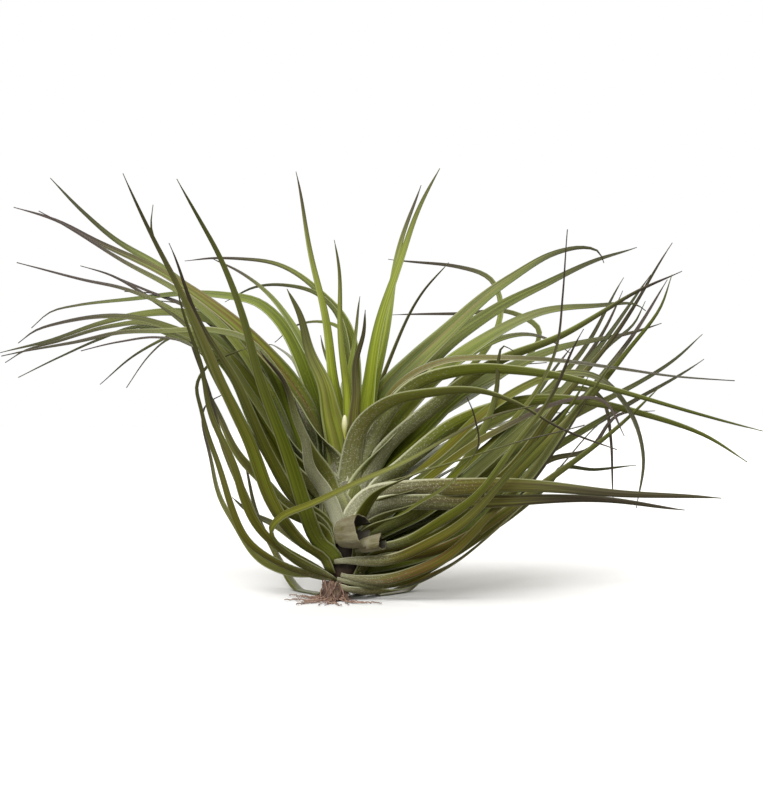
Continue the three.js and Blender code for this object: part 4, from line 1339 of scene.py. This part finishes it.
def lumpy_stub():
    bm = turned([(0, 0), *STUB_PROFILE, (0, STUB_PROFILE[-1][1])], STUB_SIDES)
    for vert in bm.verts:
        angle, level = math.atan2(vert.co.y, vert.co.x), vert.co.z / MM
        lump = 1 + sum(
            size * math.sin(count * angle + slant * level) for size, count, slant in STUB_LUMPS)
        vert.co.x *= lump
        vert.co.y *= lump
    bmesh.ops.translate(bm, verts=bm.verts, vec=(STUB_X * MM, STUB_Y * MM, 0))
    return bm


def add_tube(bm, places, radii, fineness):
    """A tapering tube along a line, made as a curve and added as mesh."""
    curve = bpy.data.curves.new("Root line", "CURVE")
    curve.dimensions = "3D"
    curve.bevel_depth = 1
    curve.bevel_resolution = fineness
    curve.use_fill_caps = True
    spline = curve.splines.new("POLY")
    spline.points.add(len(places) - 1)
    for point, place, radius in zip(spline.points, places, radii):
        point.co = (*(place * MM), 1)
        point.radius = radius * MM
    holder = bpy.data.objects.new("Root line", curve)
    mesh = bpy.data.meshes.new_from_object(holder)
    bm.from_mesh(mesh)
    bpy.data.objects.remove(holder)
    bpy.data.curves.remove(curve)
    bpy.data.meshes.remove(mesh)


def wander_along(line, amount, draw):
    """A line shaken sideways in small bends, which keeps its ends."""
    bends = [draw.uniform(-1, 1) for _ in line]
    shaken = []
    for i, place in enumerate(line):
        fade = min(1, i / WANDER_FADE)
        soft = sum(bends[max(i - 1, 0):i + 2]) / 3
        direction = line[min(i + 1, len(line) - 1)] - line[max(i - 1, 0)]
        side = Vector((-direction.y, direction.x, 0)).normalized()
        lift = Vector((0, 0, abs(bends[i]) * amount * WANDER_LIFT))
        shaken.append(place + side * soft * amount * fade + lift * fade)
    return shaken


def add_root(bm, points, radius, form, draw):
    """Adds one root of a form, thickest at its first point."""
    line = evenly_spaced(smooth_line(points), form.steps)
    if form.wander:
        line = wander_along(line, form.wander, draw)
    radii = [radius * (1 - form.taper * i / form.steps) for i in range(form.steps + 1)]
    add_tube(bm, line, radii, form.round)


def add_main_roots(bm, draw):
    for route in ROOTS:
        points = [Vector((x, y, ROOT_RADIUS)) for x, y in route]
        points[0].z = ROOT_START_LEVEL
        add_root(bm, points, ROOT_RADIUS, MAIN_FORM, draw)


def add_strands(bm, draw):
    """Adds the strands that hang down over the stub."""
    for _ in range(STRAND_COUNT):
        azimuth = draw.uniform(0, 2 * math.pi)
        points = []
        for level in STRAND_LEVELS:
            azimuth += draw.uniform(-STRAND_BEND, STRAND_BEND)
            spread = STRAND_SPREAD * (1 - level / STRAND_LEVELS[0]) ** 2
            reach = STRAND_REACH + spread + draw.uniform(0, STRAND_LOOSE)
            points.append(Vector((
                STUB_X + reach * math.cos(azimuth), STUB_Y + reach * math.sin(azimuth),
                level + draw.uniform(0, STRAND_LOOSE))))
        add_root(bm, points, draw.uniform(*STRAND_RADIUS), STRAND_FORM, draw)


def add_fine_roots(bm, settings, draw):
    """Adds the fine roots that spread over the floor."""
    radius = settings.hair_radius / MM
    for _ in range(settings.hair_count):
        azimuth = math.radians(draw.uniform(*HAIR_DIRECTIONS))
        stretch = draw.uniform(*HAIR_REACH) / HAIR_STRETCHES
        points, place = [], Vector((STUB_X, STUB_Y, draw.uniform(*HAIR_START)))
        for step in range(HAIR_STRETCHES + 1):
            azimuth += draw.uniform(-HAIR_BEND, HAIR_BEND)
            level = max(radius, place.z * HAIR_FALL) if step else place.z
            place = Vector((
                place.x + stretch * math.cos(azimuth), place.y + stretch * math.sin(azimuth),
                level))
            points.append(place)
        add_root(bm, points, radius, HAIR_FORM, draw)


# ---- Operators -------------------------------------------------------------------------------


class AIRPLANT_OT_stem_core(bpy.types.Operator):
    """Add the core of the bulb: the innermost wrapped sheaths"""

    bl_idname = "airplant.stem_core"
    bl_label = "Add Stem Core"

    def execute(self, context):
        piece = piece_from(stem_core(), "stem_core", [sheath_core_material()])
        place_piece(piece, "green_leaf", "leafy_rosette")
        return {"FINISHED"}


class AIRPLANT_OT_clasping_sheaths(bpy.types.Operator):
    """Add the short sheaths that wrap the bulb between the leaves"""

    bl_idname = "airplant.clasping_sheaths"
    bl_label = "Add Clasping Sheaths"

    def execute(self, context):
        add_green_leaves("clasping_sheaths", clasping_sheaths(), SHEATH_SWAY_SEED)
        return {"FINISHED"}


class AIRPLANT_OT_heart_leaves(bpy.types.Operator):
    """Add the young upright leaves of the heart and the pale bud at their foot"""

    bl_idname = "airplant.heart_leaves"
    bl_label = "Add Heart Leaves"

    def execute(self, context):
        leafy_piece(
            "heart_leaf_blades", heart_leaves(), HEART_SWAY_SEED, blade_materials("Heart leaf"),
            "heart_leaf", "heart_leaves")
        bud = piece_from(heart_bud(), "heart_bud", [bud_material()])
        place_piece(bud, "heart_leaf", "heart_leaves")
        return {"FINISHED"}


class AIRPLANT_OT_upper_leaves(bpy.types.Operator):
    """Add the broad leaves that leave the stem high up"""

    bl_idname = "airplant.upper_leaves"
    bl_label = "Add Upper Leaves"

    def execute(self, context):
        add_traced_leaves("upper_leaf_blades")
        return {"FINISHED"}


class AIRPLANT_OT_outer_leaves(bpy.types.Operator):
    """Add the leaves of the middle of the stem"""

    bl_idname = "airplant.outer_leaves"
    bl_label = "Add Outer Leaves"

    def execute(self, context):
        add_traced_leaves("outer_leaf_blades")
        return {"FINISHED"}


class AIRPLANT_OT_lower_leaves(bpy.types.Operator):
    """Add the old leaves that hang from the foot and curl up, and those that it rests on"""

    bl_idname = "airplant.lower_leaves"
    bl_label = "Add Lower Leaves"

    def execute(self, context):
        add_traced_leaves("lower_leaf_blades", resting_leaves())
        return {"FINISHED"}


class AIRPLANT_OT_back_leaves(bpy.types.Operator):
    """Add the leaves behind the stem"""

    bl_idname = "airplant.back_leaves"
    bl_label = "Add Back Leaves"

    def execute(self, context):
        add_green_leaves("back_leaf_blades", back_leaves(), BACK_SWAY_SEED)
        return {"FINISHED"}


class AIRPLANT_OT_dry_scales(bpy.types.Operator):
    """Add the two torn papery scales at the foot"""

    bl_idname = "airplant.dry_scales"
    bl_label = "Add Papery Scales"

    def execute(self, context):
        materials = [
            scale_material("Papery scale", SCALE_BRIGHTNESS),
            scale_material("Papery scale, painted shade inside", SCALE_INSIDE_PAINTED_SHADE),
        ]
        for i, (node, (foot, mouth, radius)) in enumerate(SCALES.items()):
            bm, layers = leaf_mesh()
            add_torn_cup(bm, layers, foot, mouth, radius, random.Random(SCALE_SEED + i))
            piece = piece_from(bm, node.replace("dry", "papery"), materials)
            add_wall(piece, "Paper thickness", SCALE_THICKNESS * MM)
            place_piece(piece, "dry_scale", node)
        return {"FINISHED"}


class AIRPLANT_OT_rooted_stub(bpy.types.Operator):
    """Add the fibrous stub and the wiry roots along the floor"""

    bl_idname = "airplant.rooted_stub"
    bl_label = "Add Stub and Roots"

    def execute(self, context):
        stub = piece_from(lumpy_stub(), "fibrous_stub", [bark_material()])
        place_piece(stub, "root", "rooted_stub")
        bm = bmesh.new()
        draw = random.Random(ROOT_SEED)
        add_main_roots(bm, draw)
        add_strands(bm, draw)
        add_fine_roots(bm, context.scene.air_plant_roots, draw)
        for vert in bm.verts:
            vert.co.z = max(vert.co.z, 0)
        roots = piece_from(bm, "wiry_roots", [root_material()])
        place_piece(roots, "root", "rooted_stub")
        return {"FINISHED"}


class AIRPLANT_OT_studio(bpy.types.Operator):
    """Add the pale floor, the light and the camera"""

    bl_idname = "airplant.studio"
    bl_label = "Add Studio"

    def execute(self, context):
        bm = bmesh.new()
        bmesh.ops.create_circle(bm, cap_ends=True, segments=FLOOR_SIDES, radius=FLOOR_RADIUS)
        piece_from(bm, "pale_floor", [floor_material()])

        for name, (strength, softness, turn) in LIGHTS.items():
            sun = bpy.data.lights.new(name, "SUN")
            sun.energy = strength
            sun.angle = math.radians(softness)
            holder = bpy.data.objects.new(name, sun)
            holder.rotation_euler = [math.radians(angle) for angle in turn]
            context.scene.collection.objects.link(holder)

        world = bpy.data.worlds.new("Studio white")
        context.scene.world = world
        world.use_nodes = True
        tree = world.node_tree
        glow = [SKY_STRENGTH * part for part in SKY_COLOUR]
        sky = mixed(tree, seen_by_camera(tree), glow, WHITE)
        tree.links.new(sky, tree.nodes["Background"].inputs["Color"])

        camera = bpy.data.cameras.new("Camera")
        camera.sensor_width = SENSOR_WIDTH
        camera.lens = LENS
        eye = bpy.data.objects.new("Camera", camera)
        eye.location = (SIGHT_X * MM, -SIGHT_DISTANCE * MM, SIGHT_Z * MM)
        eye.rotation_euler = (math.radians(90), 0, 0)
        context.scene.collection.objects.link(eye)
        context.scene.camera = eye
        context.scene.view_settings.view_transform = "Standard"
        return {"FINISHED"}


# ---- Panel and registration ------------------------------------------------------------------

OPERATORS = [
    AIRPLANT_OT_stem_core,
    AIRPLANT_OT_clasping_sheaths,
    AIRPLANT_OT_heart_leaves,
    AIRPLANT_OT_upper_leaves,
    AIRPLANT_OT_outer_leaves,
    AIRPLANT_OT_lower_leaves,
    AIRPLANT_OT_back_leaves,
    AIRPLANT_OT_dry_scales,
    AIRPLANT_OT_rooted_stub,
    AIRPLANT_OT_studio,
]

SETTING_GROUPS = {
    "Leaves": "air_plant_leaves",
    "Roots": "air_plant_roots",
    "Colours": "air_plant_colours",
}


class AIRPLANT_PT_panel(bpy.types.Panel):
    """Air plant settings and steps"""

    bl_idname = "AIRPLANT_PT_panel"
    bl_label = "Air plant"
    bl_space_type = "VIEW_3D"
    bl_region_type = "UI"
    bl_category = "Air plant"

    def draw(self, context):
        layout = self.layout
        for title, group in SETTING_GROUPS.items():
            box = layout.box()
            box.label(text=title)
            settings = getattr(context.scene, group)
            for name in settings.bl_rna.properties.keys():
                if name not in ("rna_type", "name"):
                    box.prop(settings, name)
        for operator in OPERATORS:
            layout.operator(operator.bl_idname)


CLASSES = [
    AirPlantLeafSettings, AirPlantRootSettings, AirPlantColourSettings, *OPERATORS,
    AIRPLANT_PT_panel,
]


def register():
    for cls in CLASSES:
        bpy.utils.register_class(cls)
    bpy.types.Scene.air_plant_leaves = PointerProperty(type=AirPlantLeafSettings)
    bpy.types.Scene.air_plant_roots = PointerProperty(type=AirPlantRootSettings)
    bpy.types.Scene.air_plant_colours = PointerProperty(type=AirPlantColourSettings)


def unregister():
    del bpy.types.Scene.air_plant_colours
    del bpy.types.Scene.air_plant_roots
    del bpy.types.Scene.air_plant_leaves
    for cls in reversed(CLASSES):
        bpy.utils.unregister_class(cls)


def main():
    register()
    bpy.ops.airplant.stem_core()
    bpy.ops.airplant.clasping_sheaths()
    bpy.ops.airplant.heart_leaves()
    bpy.ops.airplant.upper_leaves()
    bpy.ops.airplant.outer_leaves()
    bpy.ops.airplant.lower_leaves()
    bpy.ops.airplant.back_leaves()
    bpy.ops.airplant.dry_scales()
    bpy.ops.airplant.rooted_stub()
    bpy.ops.airplant.studio()


if __name__ == "__main__":
    main()
